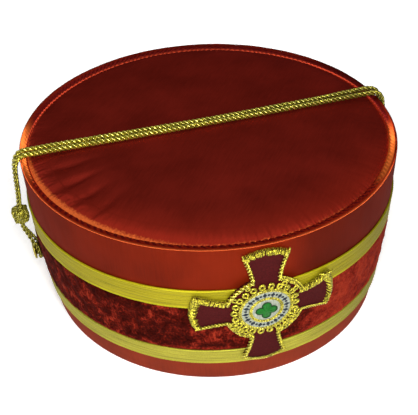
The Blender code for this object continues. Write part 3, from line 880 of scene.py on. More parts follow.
def add_softbox(name, place, aim, size, power, colour="#ffffff", spread=180.0):
    """A square soft light that faces a point. A grid in front of it can narrow its spread, in degrees."""
    light = bpy.data.lights.new(name, "AREA")
    light.spread = math.radians(spread)
    light.shape = "RECTANGLE"
    light.size, light.size_y = size
    light.energy = power
    light.color = linear(colour)
    made = bpy.data.objects.new(name, light)
    made.location = place
    made.rotation_euler = (Vector(aim) - Vector(place)).to_track_quat("-Z", "Y").to_euler()
    bpy.context.scene.collection.objects.link(made)


class CAP_OT_add_stage(bpy.types.Operator):
    """Adds the camera, the pale floor and the studio lights"""

    bl_idname = "cap.add_stage"
    bl_label = "Stage"

    def execute(self, context):
        scene = context.scene
        add_camera()
        half = 4.0
        floor = Shape()
        corners = np.array([[(x, y, 0.0) for x in (-half, half)] for y in (-half, half)])
        floor.add_grid(corners, np.arange(2.0), np.arange(2.0))
        floor.make("floor", floor_look())
        add_softbox("front_light", (-0.07, -0.42, 0.38), (0.0, 0.0, 0.05), (0.12, 0.12), 2.45)
        add_softbox("fill_light", (-0.05, -0.52, 0.28), (0.0, 0.0, 0.05), (0.2, 0.15), 0.75)
        add_softbox("left_light", (-0.90, 0.35, 0.60), (0.0, 0.0, 0.08), (0.6, 0.5), 0.25, "#fff4e8")
        add_softbox("top_light", (-0.10, 0.15, 1.20), (0.0, 0.0, 0.08), (0.8, 0.8), 2.7)
        add_softbox("back_light", (-0.05, 0.55, 1.00), (-0.05, 0.5501, 0.0), (1.4, 0.3), 2.5, spread=60.0)
        world = bpy.data.worlds.new("studio")
        world.use_nodes = True
        sky = world.node_tree.nodes["Background"]
        sky.inputs["Color"].default_value = (1.0, 1.0, 1.0, 1.0)
        sky.inputs["Strength"].default_value = 0.10
        scene.world = world
        scene.view_settings.view_transform = "Standard"
        return {"FINISHED"}


# Cords, knots and buttons

def knot_centre(side):
    """Middle of the slide knot on one side, -1 left and +1 right."""
    row = CROWN_ROWS[0] if side < 0 else CROWN_ROWS[-1]
    y = (row[1] + row[2]) / 2.0
    clear = BAND_FACE + GAP + KNOT_DIAMETER / 2.0
    return Vector((side * side_x(KNOT_LEVEL + KNOT_HEIGHT / 2.0, y, clear), y, KNOT_LEVEL))


def drop_route(side, column):
    """One strand's points from the knot on one side up to the edge of the crown."""
    knot = knot_centre(side)
    row = CROWN_ROWS[0] if side < 0 else CROWN_ROWS[-1]
    half_spacing = (CORD_DIAMETER + GAP) / 2.0
    at_knot = knot.y + (-half_spacing if column == 1 else half_spacing)
    points = [(knot.x, at_knot, knot.z + KNOT_HEIGHT / 2.0 + GAP)]
    for outside, above, share in DROP_ROWS:
        y = at_knot + (row[column] - at_knot) * share
        points.append((side * (side_x(HEIGHT, y) + outside), y, HEIGHT + above))
    return points


def strand_route(column):
    """One strand from the left knot over the crown to the right knot. Column 1 is the front one."""
    level = SEAM_HEIGHT + PUFF + CORD_LIFT + CORD_DIAMETER / 2.0
    across = [(row[0] * FOLD_HALF_WIDTH, row[column], level) for row in CROWN_ROWS]
    return drop_route(-1, column) + across + drop_route(1, column)[::-1]


def loop_route(side):
    """The loop below a knot: down one leg, round the button's shank and up the other leg."""
    knot = knot_centre(side)
    radius = SHANK_DIAMETER / 2.0 + GAP + LOOP_DIAMETER / 2.0
    proud = BAND_FACE + GAP + LOOP_DIAMETER / 2.0
    leg_top = Vector((knot.x, (LOOP_DIAMETER + GAP) / 2.0, knot.z - KNOT_HEIGHT / 2.0 - GAP))
    front = []
    for degrees in (30.0, 0.0, -30.0, -60.0, -90.0):
        turn = math.radians(degrees)
        across, level = radius * math.cos(turn), BUTTON_LEVEL + radius * math.sin(turn)
        front.append(Vector((side * side_x(level, knot.y, proud), across, level)))
    leg = [leg_top, leg_top - Vector((0.0, 0.0, LOOP_DIAMETER))]
    for share in (0.33, 0.67):
        point = leg[1].lerp(front[0], share)
        point.y = leg_top.y + (front[0].y - leg_top.y) * eased(share)
        leg.append(point)
    half = leg + front
    there = [(p.x, knot.y - p.y, p.z) for p in half]
    back = [(p.x, knot.y + p.y, p.z) for p in reversed(half[:-1])]
    return there + back


def twisted_cord(name, route, diameter, plies, pitch, *looks):
    """A twisted cord along a route."""
    path = even_path(smooth_path(route, 0.0005), 0.00042)
    shape = Shape()
    add_rope(shape, path, carried_sides(path, (0.0, 1.0, 0.0)), diameter, plies, pitch, unevenness=0.07)
    cord = seat(shape.make(name + "_twisted", *looks), "cord", name)
    return cord


class CAP_OT_add_cords(bpy.types.Operator):
    """Adds the double cord over the crown and the loop below each knot"""

    bl_idname = "cap.add_cords"
    bl_label = "Cords"

    def execute(self, context):
        sizes, colours = context.scene.cap_sizes, context.scene.cap_colours
        colour = tuple(colours.bullion)
        looks = (bullion_look("gilt_twisted_cord", dimmed(colour, 0.85), 0.00045, painted_shade_on_gilt),
                 bullion_look("painted_glint_gilt_cord", tuple(colours.painted_glint), 0.00045, painted_shade_on_gilt))
        for name, column in (("cord_front", 1), ("cord_back", 2)):
            twisted_cord(name, strand_route(column), CORD_DIAMETER, 3, sizes.cord_pitch, *looks)
        for word, side in SIDES:
            twisted_cord(f"cord_loop_{word}", loop_route(side), LOOP_DIAMETER, 2, 0.0055, *looks)
        return {"FINISHED"}


def woven_knot(side):
    """A slide knot: one thin cord woven three times round, over and under, packed close on its core."""
    centre = np.array(knot_centre(side))
    turns, bights = 3, 5
    strand, ride = 0.0021, 0.00035
    t = circle(560)[:-1]
    up = np.cos(bights * t)
    steep = math.pi / 2.0 * 0.9
    level = (KNOT_HEIGHT / 2.0 - strand / 2.0) * np.sin(up * steep) / math.sin(steep)
    barrel = np.sqrt(1.0 - 0.78 * up ** 2) * (1.0 + 0.10 * up)
    radius = (KNOT_DIAMETER / 2.0 - strand / 2.0) * barrel + ride * np.sin(2.0 * bights * t)
    path = even_path(rings(turns * t, radius, level), 0.00035, closed=True)
    ahead = tangents(path, closed=True)
    outward = path * np.array((1.0, 1.0, 0.5))
    outward -= ahead * (outward * ahead).sum(axis=1)[:, None]
    outward /= np.linalg.norm(outward, axis=1)[:, None]
    shape = Shape()
    add_rope(shape, path + centre, (outward, np.cross(ahead, outward)), strand, 3, 0.0062, closed=True,
             bright=2)
    rows = np.linspace(-1.0, 1.0, 15)[1:-1, None]
    around = circle(24)
    width = domed(rows) * (1.0 + 0.10 * rows) * (KNOT_DIAMETER / 2.0 - 0.0007)
    core = rings(around[:-1], width, rows * (KNOT_HEIGHT / 2.0 - 0.0010)) + centre
    first = shape.add_grid(core, rows[:, 0] * 0.005, around * 0.004, columns_close=True, look=1)
    shape.close_ends(first, core, 1)
    return shape


class CAP_OT_add_knots(bpy.types.Operator):
    """Adds the woven slide knot on each side"""

    bl_idname = "cap.add_knots"
    bl_label = "Slide knots"

    def execute(self, context):
        colours, thread = context.scene.cap_colours, 0.00040
        # strand is the look of the painted glint along each ply
        look, strand = gilt_pair(colours, thread, "gilt_knotted_cord", "painted_glint_gilt_knot", painted_shade_on_gilt)
        # The core shows only in the gaps between the strands, and its darker gilt is painted shade there
        core = bullion_look("gilt_knot_core", dimmed(colours.bullion, 0.8), thread, painted_shade_on_gilt)
        for word, side in SIDES:
            knot = woven_knot(side).make(f"knot_{word}_woven", look, core, strand)
            seat(knot, "cord", f"knot_{word}")
        return {"FINISHED"}


def side_button(side):
    """A domed button with a rolled rim on its shank, square to the leaning band."""
    cap = GAP + LOOP_DIAMETER + GAP
    shank, head = SHANK_DIAMETER / 2.0, BUTTON_DIAMETER / 2.0
    lean = math.atan2(FLARE, HEIGHT)
    outwards = Vector((side * math.cos(lean), 0.0, -math.sin(lean)))
    turned = outwards.to_track_quat("Z", "Y").to_matrix().to_4x4()
    y = knot_centre(side).y
    proud = BAND_FACE + GAP + shank * math.tan(lean) / 2.0
    foot = Vector((side * side_x(BUTTON_LEVEL, y, proud), y, BUTTON_LEVEL))
    placed = np.array(Matrix.Translation(foot) @ turned)
    profile = [(0.0001, 0.0), (shank, 0.0), (shank, cap * 0.5), (shank * 0.97, cap)]
    roll, brim = 0.0005, 0.00075
    for rolled in np.radians(np.linspace(-90.0, 90.0, 9)):
        profile.append((head - roll + roll * math.cos(rolled), cap + roll + roll * math.sin(rolled)))
    for share in np.linspace(0.88, 0.04, 12):
        profile.append((head * share, cap + brim + (BUTTON_CAP - brim) * domed(share)))
    profile = np.array(profile)
    around = circle(48)
    points = rings(around[:-1], profile[:, :1], profile[:, 1:]) @ placed[:3, :3].T + placed[:3, 3]
    shape = Shape()
    first = shape.add_grid(points, profile[:, 1], around * head, columns_close=True)
    shape.close_ends(first, points)
    return shape


class CAP_OT_add_buttons(bpy.types.Operator):
    """Adds the domed button on each side"""

    bl_idname = "cap.add_buttons"
    bl_label = "Side buttons"

    def execute(self, context):
        look = brass_look(linear("#b9a947"))
        for word, side in SIDES:
            seat(side_button(side).make(f"button_{word}_domed", look), "button", f"button_{word}")
        return {"FINISHED"}


# Band and crown

def satin_ripples(points, height):
    """How far the band's satin stands off the stiff wall: soft upright ripples where no braid holds it."""
    open_above = eased((height - UPPER_BRAID_TOP) / 0.004) * eased((HEIGHT - 0.002 - height) / 0.004)
    open_below = 0.5 * eased((LOWER_BRAID_LOW - height) / 0.003) * eased(height / 0.004)
    waves = 0.00016 * cloud(points, 0.016, upright=0.35) + 0.00005 * cloud(points, 0.005, upright=0.35)
    return (open_above + open_below) * waves


def band_shape(points, across, looks=0):
    """A closed band round the cap, whose threads run round it. points holds a row for each bearing."""
    shape = Shape()
    shape.add_grid(points.transpose(1, 0, 2), across, round_places(ROUND), rows_close=True,
                   columns_close=True, look=looks, swapped=True)
    return shape


def band_section():
    """The band's section as places off its outer face and heights, up the outside, over the rim and down the
    inside. Also the rows where the outside, the rim and the lining start."""
    hem, lip = WALL / 2.0, 0.0008
    bottom = [(-hem + hem * math.cos(a), hem + hem * math.sin(a)) for a in np.linspace(-math.pi, 0.0, 9)]
    outer = [(0.0, height) for height in np.linspace(hem, HEIGHT - 0.0011, 58)[1:]]
    fold = [(-inwards, HEIGHT - below) for inwards, below in FOLD_ROWS]
    under = [(-RIM_WIDTH, SEAM_HEIGHT - WALL), (-WALL - lip, SEAM_HEIGHT - WALL)]
    inner = [(-WALL, height) for height in np.linspace(SEAM_HEIGHT - WALL - lip, hem, 12)[:-1]]
    rim = len(bottom) + len(outer)
    return np.array(bottom + outer + fold + under + inner), (len(bottom) - 1, rim, rim + len(fold))


def band_points(section, starts, spacing):
    """Points of the satin band, a row for each bearing: rippled, creased on its rim, joined at the back."""
    turn = bearings(ROUND)
    row = np.arange(len(section))
    outside, rim, lining = starts
    outwards, height = section[:, 0][None, :], section[:, 1][None, :]
    flat = on_band(turn, height, outwards)
    # The satin dips into a stitched line where it is joined
    join = -0.00025 * np.exp(-(np.radians(degrees_from(turn, JOIN_BEARING)) * 0.1 / 0.0007) ** 2)
    off_wall = np.where((row >= outside) & (row < rim), satin_ripples(flat, height) + join, 0.0)
    narrowed = np.where((row >= rim) & (row < lining), outwards * rim_share(turn), outwards)
    points = on_band(turn, height, narrowed + off_wall)
    inwards = -outwards
    near_seam = eased((inwards - 0.0016) / 0.0024) * (height > HEIGHT - 0.0035)
    phase = gather_phase(turn, spacing) - 2.0 * inwards / 0.0010
    smoother = 1.0 - 0.75 * eased((points[..., 0] - 0.072) / 0.016)
    points[..., 2] -= near_seam * smoother * 0.00050 * (0.5 + 0.5 * np.cos(phase)) ** 2
    near_top = height > HEIGHT - 0.0012
    on_fold = near_top & (inwards < 0.0012)
    points[..., 2] += on_fold * 0.00010 * cloud(flat, 0.012, upright=0.0)
    on_face = near_top & (inwards > 0.0010) & (inwards < 0.0050)
    points[..., 2] += on_face * 0.00014 * cloud(flat, 0.007, upright=0.0)
    return points


class CAP_OT_add_band(bpy.types.Operator):
    """Adds the satin band with its pressed fold and turned-in rim"""

    bl_idname = "cap.add_band"
    bl_label = "Satin band"

    def execute(self, context):
        colour = tuple(context.scene.cap_colours.band_satin)
        section, starts = band_section()
        points = band_points(section, starts, context.scene.cap_sizes.gather_spacing)
        row = np.arange(len(section))
        rim, lining = starts[1:]
        below_braid = (row < rim) & (section[:, 1] < (LOWER_BRAID_LOW + LOWER_BRAID_TOP) / 2.0)
        folded_back = (row >= rim + 3) & (row < lining)
        looks = np.select((folded_back, row >= lining, below_braid), (3, 2, 1), 0)[:, None]
        across = lengths_along(section)
        shape = band_shape(points, np.append(across, across[-1] + 0.001), looks)
        satin = satin_look("acetate_satin_band", colour, 0.30, painted_light_on_band)
        # The strip below the braids is a lighter satin, painted light from the pale floor, and the folded rim
        # is lighter still, with painted light and shade laid over it
        rubbed = satin_look("acetate_satin_painted_floor_light", linear("#802e18"), 0.30)
        folded = satin_look("folded_acetate_satin", linear("#c03216"), 0.75, painted_light_on_rim)
        band = shape.make("wall_satin", satin, rubbed, lining_look(colour), folded)
        seat(band, "band_satin", "side_wall")
        return {"FINISHED"}


def dent_share(bearing, inwards):
    """How deep the dents are at places of the crown, as a share of the padding's rise."""
    depth = 0.0 * bearing * inwards
    for middle, along, half_length, half_turn, share in DENTS:
        turn = degrees_from(bearing, middle)
        depth = depth + share * np.exp(-((inwards - along) / half_length) ** 2 - (turn / half_turn) ** 2)
    return depth


def crown_surface(turn, inwards, sizes):
    """Points of the padded crown: puffed up from its gathered seam, with soft dents and short pleats."""
    tuck = 0.0012
    flat = on_band(turn, HEIGHT, -RIM_WIDTH * rim_share(turn) + 0.0003 - inwards)
    bearing = np.arctan2(flat[..., 1], flat[..., 0])
    wide = np.exp(-(degrees_from(bearing, PUFF_BEARING) / 42.0) ** 2)
    first, reach = 0.0013 + 0.0012 * wide, 0.0017 + 0.0031 * wide
    steep = first * (1.0 - np.exp(-inwards / reach))
    slow = (PUFF + tuck - first) * (1.0 - np.exp(-inwards / 0.0110))
    height = SEAM_HEIGHT - tuck + (steep + slow) * (1.0 - dent_share(bearing, inwards))
    phase = gather_phase(turn, sizes.gather_spacing)
    strength = 0.75 + 0.35 * np.sin(5.0 * turn + 1.3) * np.sin(11.0 * turn)
    smooth_front = eased((flat[..., 0] + 0.010) / 0.040) * eased(-flat[..., 1] / 0.030)
    strength = strength * (1.0 - 0.65 * smooth_front)
    scallop = np.exp(-((inwards - 0.0010) / 0.0012) ** 2) + 0.30 * np.exp(-((inwards - 0.0030) / 0.0030) ** 2)
    height = height + sizes.gather_height * strength * scallop * np.cos(phase)
    polar = rings(turn, 0.1, inwards * 0.18)
    pleats = (0.00011 + 0.00013 * wide) * cloud(polar, 0.0042, 2)
    height = height + pleats * eased(inwards / 0.002) * np.exp(-inwards / 0.0085)
    height = height + 0.00042 * cloud(polar, 0.0011, 1) * np.exp(-inwards / 0.0015)
    height = height + 0.00022 * cloud(flat, 0.030, 2) * eased(inwards / 0.006)
    flat[..., 2] = height
    return flat


def settled_lift(inwards, sizes):
    """How the satin lies when it is a little too large, lifted from below and sewn down round its edge."""
    count = 360
    rows = np.concatenate(([0.0], np.geomspace(0.0014, 0.055, 30)))
    around = circle(count)[:-1, None]
    start = crown_surface(around, rows[None, :], sizes)
    trial = Shape()
    trial.add_grid(start.transpose(1, 0, 2), rows, np.arange(count + 1.0), columns_close=True)
    satin = trial.make("satin_trial")
    sewn = satin.vertex_groups.new(name="sewn")
    sewn.add(list(range(count)) + list(range((len(rows) - 1) * count, len(rows) * count)), 1.0, "REPLACE")
    cloth = satin.modifiers.new("settling", "CLOTH")
    cloth.settings.vertex_group_mass = "sewn"
    cloth.settings.use_pressure = True
    cloth.settings.uniform_pressure_force = CLOTH_PRESSURE
    cloth.settings.effector_weights.gravity = 0.0
    cloth.settings.shrink_min = -0.025
    cloth.settings.quality = 6
    cloth.settings.tension_stiffness = 15.0
    cloth.settings.bending_stiffness = 0.5
    cloth.point_cache.frame_end = CLOTH_FRAMES
    scene = bpy.context.scene
    for step in range(1, CLOTH_FRAMES + 1):
        scene.frame_set(step)
    loose = satin.evaluated_get(bpy.context.evaluated_depsgraph_get()).to_mesh()
    moved = np.empty(3 * len(loose.vertices))
    loose.vertices.foreach_get("co", moved)
    bpy.data.objects.remove(satin)
    scene.frame_set(1)
    lift = moved.reshape(len(rows), count, 3)[..., 2].T - start[..., 2]
    # The rise itself comes from the construction, so only the folds are kept, and none is taller than 0.6 mm
    lift = np.clip(lift - lift.mean(axis=0), -0.0006, 0.0006)
    # The folds stay on the left, where the padding is thin, and are mostly pulled out elsewhere
    kept = 0.10 + 0.45 * np.exp(-(degrees_from(around, FOLDS_BEARING) / 24.0) ** 2)
    lift = lift * kept * np.exp(-(rows / 0.024) ** 2)
    fine = np.stack([np.interp(inwards, rows, column, right=0.0) for column in lift])
    wanted = (bearings(CROWN_ROUND)[:, 0] % TURN) / TURN * count
    low = np.floor(wanted).astype(int)
    share = eased(wanted - low)[:, None]
    return fine[low % count] * (1.0 - share) + fine[(low + 1) % count] * share


class CAP_OT_add_crown(bpy.types.Operator):
    """Adds the padded satin crown with its gathered edge"""

    bl_idname = "cap.add_crown"
    bl_label = "Padded crown"

    def execute(self, context):
        sizes, colours = context.scene.cap_sizes, context.scene.cap_colours
        turn = bearings(CROWN_ROUND)
        radius = FOLD_HALF_WIDTH - RIM_WIDTH
        near = np.concatenate((np.arange(0.0, 0.004, 0.0003), np.arange(0.004, 0.010, 0.0006)))
        far = np.geomspace(0.010, radius - 0.0015, 28)
        inwards = np.concatenate((near, far))[None, :]
        top = crown_surface(turn, inwards, sizes)
        top[..., 2] += settled_lift(inwards[0], sizes)
        below = half_sizes(HEIGHT, -RIM_WIDTH - GAP - np.array([0.080, 0.040, 0.010, 0.0]))
        under = oval(turn, *below, SEAM_HEIGHT - WALL)
        points = np.concatenate((under, top), axis=1).transpose(1, 0, 2)
        shape = Shape()
        lined = np.where(np.arange(len(points) - 1) < 3, 1, 0)[:, None]
        spread = np.concatenate((np.zeros(4), inwards[0]))
        shape.add_grid(points, spread, round_places(CROWN_ROUND), columns_close=True, look=lined)
        run = math.radians(THREAD_BEARING)
        axes = np.array(((math.sin(run), math.cos(run)), (-math.cos(run), math.sin(run))))
        flat_places = points[..., :2].reshape(-1, 2) @ axes
        shape.places[0] = flat_places[shape.faces[0]]
        last = (len(points) - 1) * CROWN_ROUND
        shape.add_cap(np.arange(CROWN_ROUND), (0.0, 0.0, SEAM_HEIGHT - WALL), 1)
        shape.add_cap(last + np.arange(CROWN_ROUND), points[-1].mean(axis=0))
        satin = satin_look("acetate_satin_crown", tuple(colours.crown_satin), 0.75, painted_highlight_at_crown_edge)
        crown = shape.make("crown_satin", satin, lining_look(tuple(colours.crown_satin)))
        seat(crown, "crown_satin", "top_panel")
        return {"FINISHED"}


# Braids and velvet

def join_lift(turn):
    """How far a band's end stands over its beginning where the two are sewn at the back."""
    off = np.radians(np.abs(degrees_from(turn, JOIN_BEARING)))
    return 0.00045 * eased((JOIN_OVERLAP - off * FOLD_HALF_LENGTH) / 0.0008)


def flat_braid(low, top, sizes):
    """A flat woven braid: lengthwise ribs of small stitches, with a heavier rib along each edge."""
    turn = bearings(ROUND)
    count = sizes.rib_count
    per_rib = 4
    across = np.linspace(0.0, 1.0, count * per_rib + 1)[None, :]
    picot = 0.00016 * np.cos(math.pi * np.arange(ROUND))[:, None] * (np.abs(2.0 * across - 1.0) > 0.97)
    rib = np.minimum((across * count).astype(int), count - 1)
    rise = np.abs(np.sin(math.pi * count * across)) ** 0.7
    edge = np.where((rib == 0) | (rib == count - 1), 1.45, 1.0)
    edge = np.where((rib == 3) | (rib == count - 4), 0.6, edge)
    stitch = np.cos(np.arange(ROUND)[:, None] * math.pi * 2.0 / 3.0 + math.pi * (rib % 2))
    body = 0.00058 * np.minimum(1.0, np.minimum(across, 1.0 - across) / 0.03 + 0.35)
    width = top - low
    height = low + width * across
    flat = on_band(turn, height)
    sway = 0.00018 * cloud(flat, 0.030, 2, upright=0.0)
    outwards = 0.00015 + body + sizes.rib_height * edge * rise * (1.0 + 0.16 * stitch) + join_lift(turn)
    front = on_band(turn, height + sway + picot, outwards + 0.00010 * cloud(flat, 0.008, 2))
    back = on_band(turn, np.array([top - 0.0002, (low + top) / 2.0, low + 0.0002]), TRIM_CLEARANCE)
    places = np.concatenate((across[0] * width, [width, width / 2.0, 0.0, 0.0]))
    outer_rib = (places[:-1] < width / count) | (places[:-1] > width * (1.0 - 1.0 / count))
    return band_shape(np.concatenate((front, back), axis=1), places, np.where(outer_rib, 1, 0)[:, None])


class CAP_OT_add_braids(bpy.types.Operator):
    """Adds the two flat gold braids round the band"""

    bl_idname = "cap.add_braids"
    bl_label = "Gold braids"

    def execute(self, context):
        sizes = context.scene.cap_sizes
        colour = tuple(context.scene.cap_colours.braid)
        # The lower braid is paler than the upper one, and the outer ribs of both are brighter
        for word, low, top, tone_shift, brighter in (
                ("lower", LOWER_BRAID_LOW, LOWER_BRAID_TOP, (1.07, 1.15, 5.5), (1.18, 1.20, 1.0)),
                ("upper", UPPER_BRAID_LOW, UPPER_BRAID_TOP, (1.0, 1.0, 1.0), (1.45, 1.50, 1.1))):
            woven = tuple(np.multiply(colour, tone_shift).tolist())
            look = braid_look(f"metallised_thread_{word}_braid", woven)
            edge = braid_look(f"metallised_thread_{word}_edge", tuple(np.multiply(woven, brighter).tolist()))
            braid = flat_braid(low, top, sizes).make(f"{word}_braid_woven", look, edge)
            seat(braid, "braid", f"{word}_braid")
        return {"FINISHED"}


class CAP_OT_add_velvet(bpy.types.Operator):
    """Adds the crushed velvet between the braids"""

    bl_idname = "cap.add_velvet"
    bl_label = "Crushed velvet"

    def execute(self, context):
        sizes, colours = context.scene.cap_sizes, context.scene.cap_colours
        turn = bearings(ROUND)
        across = np.linspace(0.0, 1.0, 46)[None, :]
        width = VELVET_TOP - VELVET_LOW
        height = VELVET_LOW + width * across
        flat = on_band(turn, height)
        lumps = cloud(flat, 0.006, 4) + 0.5 * cloud(flat, 0.0022, 2, upright=0.4)
        edges = np.minimum(across, 1.0 - across) * width
        body = 0.00095 * np.sqrt(np.clip(edges / 0.0012, 0.12, 1.0))
        outwards = body + sizes.crush_depth * lumps * eased(edges / 0.001 + 0.3)
        outwards = np.clip(outwards, 0.0004, 0.0021)
        ragged = 0.00045 * cloud(flat, 0.0019, 2, upright=0.0)
        ragged = ragged * np.where(across < 0.5, -1.0, 1.0) * (edges < 0.0006)
        front = on_band(turn, height + ragged, outwards + join_lift(turn))
        back = on_band(turn, np.array([VELVET_TOP - 0.0004, VELVET_LOW + 0.0004]), TRIM_CLEARANCE)
        places = np.concatenate((across[0] * width, [width, 0.0, 0.0]))
        shape = band_shape(np.concatenate((front, back), axis=1), places)
        velvet = shape.make("velvet_crushed", velvet_look(tuple(colours.velvet)))
        seat(velvet, "velvet", "velvet_band")
        return {"FINISHED"}


# Badge

def on_badge(points):
    """Points given as across, up and off the band, laid on the band at the badge's place."""
    across, up, proud = points[..., 0], points[..., 1], points[..., 2]
    height = BADGE_LEVEL + up
    settle = eased((height - UPPER_BRAID_TOP) / CLOTH_SETTLE) * (CLOTH_BACK - 2.0 * GAP)
    turn = -math.pi / 2.0 + (BADGE_SIDE + across) / half_sizes(height)[0]
    return oval(turn, *half_sizes(height, proud - settle), height)


def turned(points, quarter):
    """Flat badge points turned by quarters of a turn."""
    cos, sin = round(math.cos(quarter * math.pi / 2.0)), round(math.sin(quarter * math.pi / 2.0))
    x, y = points[..., 0], points[..., 1]
    return np.stack((x * cos - y * sin, x * sin + y * cos, points[..., 2]), axis=-1)


def arm_half(reach):
    """Half the width of an arm at a distance from the badge's middle."""
    share = np.clip((reach - ARM_ROOT) / (ARM_REACH - ARM_BULGE - ARM_ROOT), 0.0, 1.0)
    return ARM_ROOT_HALF + (ARM_END_HALF - ARM_ROOT_HALF) * share ** ARM_FLARE


def in_badge(across, up):
    """Whether flat places lie on the badge's cloth."""
    a, b = np.abs(across), np.abs(up)
    side, reach = np.minimum(a, b), np.maximum(a, b)
    on_arm = (side <= arm_half(reach)) & (reach <= ARM_REACH - ARM_BULGE * (side / ARM_END_HALF) ** 2)
    return on_arm | (a ** 2 + b ** 2 <= WREATH_RADIUS ** 2)


def flat_path(across, up, level):
    """A flat path on the badge, at a height above the band."""
    return np.stack(np.broadcast_arrays(across, up, level), axis=-1).astype(float)


def flat_sides(path, closed=False):
    """Directions beside a flat path and off the badge."""
    ahead = tangents(path, closed)
    above = np.broadcast_to((0.0, 0.0, 1.0), ahead.shape)
    return np.cross(above, ahead), above


def add_flat_rope(shape, path, diameter, pitch, closed=False, flat=0.80, start=0.0):
    """A rope of two plies sewn flat on the badge."""
    path = even_path(path, 0.00024, closed)
    add_rope(shape, path, flat_sides(path, closed), diameter, 2, pitch, closed, flat, start, on_badge, 0.08)


def add_tube(shape, path, radius, sides=8, closed=False, flat=1.0, look=0):
    """A plain tube laid on the badge. Its radius may change along the path."""
    beside, above = flat_sides(path, closed)
    around = circle(sides)
    ring = around[:-1][None, :, None]
    width = np.broadcast_to(np.asarray(radius, float), len(path))[:, None, None]
    offsets = width * (np.cos(ring) * beside[:, None] + flat * np.sin(ring) * above[:, None])
    points = on_badge(path[:, None] + offsets)
    first = shape.add_grid(points, lengths_along(path, closed), around * 0.0005, rows_close=closed,
                           columns_close=True, look=look)
    if not closed:
        shape.close_ends(first, points, look)


def badge_cloth():
    """The maroon cloth, cut as a cross with a round middle, on a fine grid."""
    step = 0.0006
    count = math.ceil((ARM_REACH + step) / step)
    ticks = np.arange(-count, count + 1) * step
    across, up = np.meshgrid(ticks, ticks, indexing="ij")
    kept = in_badge(across[:-1, :-1] + step / 2.0, up[:-1, :-1] + step / 2.0)
    size = len(ticks)
    number = np.arange(size * size).reshape(size, size)
    quads = np.stack((number[:-1, :-1], number[1:, :-1], number[1:, 1:], number[:-1, 1:]), axis=-1)[kept]
    used = np.unique(quads)
    place = np.full(size * size, -1)
    place[used] = np.arange(len(used))
    quads = place[quads]
    flat = np.stack((across.ravel()[used], up.ravel()[used]), axis=-1)
    edges = [edge for quad in quads.tolist() for edge in zip(quad, quad[1:] + quad[:1])]
    known = set(edges)
    rim = np.array([edge for edge in edges if edge[::-1] not in known])
    nap = 0.00008 * cloud(np.column_stack((flat, np.zeros(len(flat)))), 0.004)
    face = np.column_stack((flat, CLOTH_FACE + nap))
    back = np.column_stack((flat, np.full(len(flat), CLOTH_BACK - GAP)))
    shape = Shape()
    shape.add_points(on_badge(np.vstack((face, back))))
    below = len(flat)
    shape.add_faces(quads, flat[quads])
    shape.add_faces(quads[:, ::-1] + below, flat[quads[:, ::-1]])
    walls = np.stack((rim[:, 1], rim[:, 0], rim[:, 0] + below, rim[:, 1] + below), axis=-1)
    shape.add_faces(walls, flat[walls % below])
    return shape


def add_wire_loop(shape, across, up, level, radius, wire, tilt, stretch, lean):
    """A small ring of wound gold wire, laid on the badge."""
    t = circle(22)[:-1]
    x, y = radius * stretch * np.cos(t), radius * np.sin(t)
    cos, sin = math.cos(tilt), math.sin(tilt)
    path = np.stack((across + x * cos - y * sin, up + x * sin + y * cos, level + lean * np.sin(t)), axis=-1)
    add_tube(shape, path, wire * (1.0 + 0.10 * np.cos(11.0 * t)), closed=True)


def add_purl(shape, start, end, low, high, radius):
    """A short piece of coiled gold wire, arched from one place to another between two levels."""
    t = np.linspace(0.0, 1.0, 9)
    across = start[:2] + (end[:2] - start[:2]) * t[:, None]
    path = np.column_stack((across, low + (high - low) * np.sin(math.pi * t) ** 0.6))
    add_tube(shape, path, radius * (1.0 + 0.12 * np.cos(9.0 * math.pi * t)), sides=7)


def add_bullion_row(shape, edge, widths, slant, seed):
    """Short pieces of coiled wire laid side by side over an edge, whose inner side is on the left."""
    spacing, wire = 0.00070, 0.00043
    path = even_path(edge, spacing)
    inner = flat_sides(path)[0]
    widths = np.interp(np.linspace(0.0, 1.0, len(path)), np.linspace(0.0, 1.0, len(widths)), widths)
    random = np.random.default_rng(seed)
    for place, beside, width in zip(path, inner, widths):
        ahead = np.array((beside[1], -beside[0], 0.0))
        start = place - beside * (1.7 * BORDER_OVERHANG + random.uniform(-0.0003, 0.0002))
        lean = width * (slant + random.uniform(-0.25, 0.25))
        end = start + beside * (width + BORDER_OVERHANG) * random.uniform(0.85, 1.12) + ahead * lean
        add_purl(shape, start, end, CLOTH_BACK, place[2] + random.uniform(0.0002, 0.0007), wire)


def arm_border(shape, quarter):
    """The work along one arm's sides and across its end."""
    corner = ARM_REACH - ARM_BULGE
    reach = np.linspace(ARM_ROOT - 0.0012, corner + 0.0004, 60)
    across = np.linspace(1.0, -1.0, 60) * ARM_END_HALF
    level = TRIM_BACK + 0.0005
    right = flat_path(arm_half(reach), reach, level)
    left = flat_path(-arm_half(reach[::-1]), reach[::-1], level)
    end = flat_path(across, ARM_REACH - ARM_BULGE * (across / ARM_END_HALF) ** 2, level)
    for place, (edge, (kind, *widths)) in enumerate(zip((right, end, left), ARM_BORDERS[quarter])):
        if kind == "bullion":
            seed = 10 * quarter + place
            add_bullion_row(shape, turned(edge, quarter), widths, BULLION_SLANT[quarter], seed)
        else:
            width = widths[0]
            moved = edge + flat_sides(edge)[0] * (width / 2.0 - BORDER_OVERHANG * 1.6)
            add_flat_rope(shape, turned(moved, quarter), width, 1.65 * width + 0.0002, start=1.3 * place)
    for side in SPIKES[quarter]:
        tip = np.array([(side * ARM_END_HALF, corner - 0.0006, level),
                        (side * (ARM_END_HALF + 0.0007), corner + 0.0024, level)])
        tip = turned(tip, quarter)
        add_purl(shape, tip[0], tip[1], level, level + 0.0003, 0.0005)


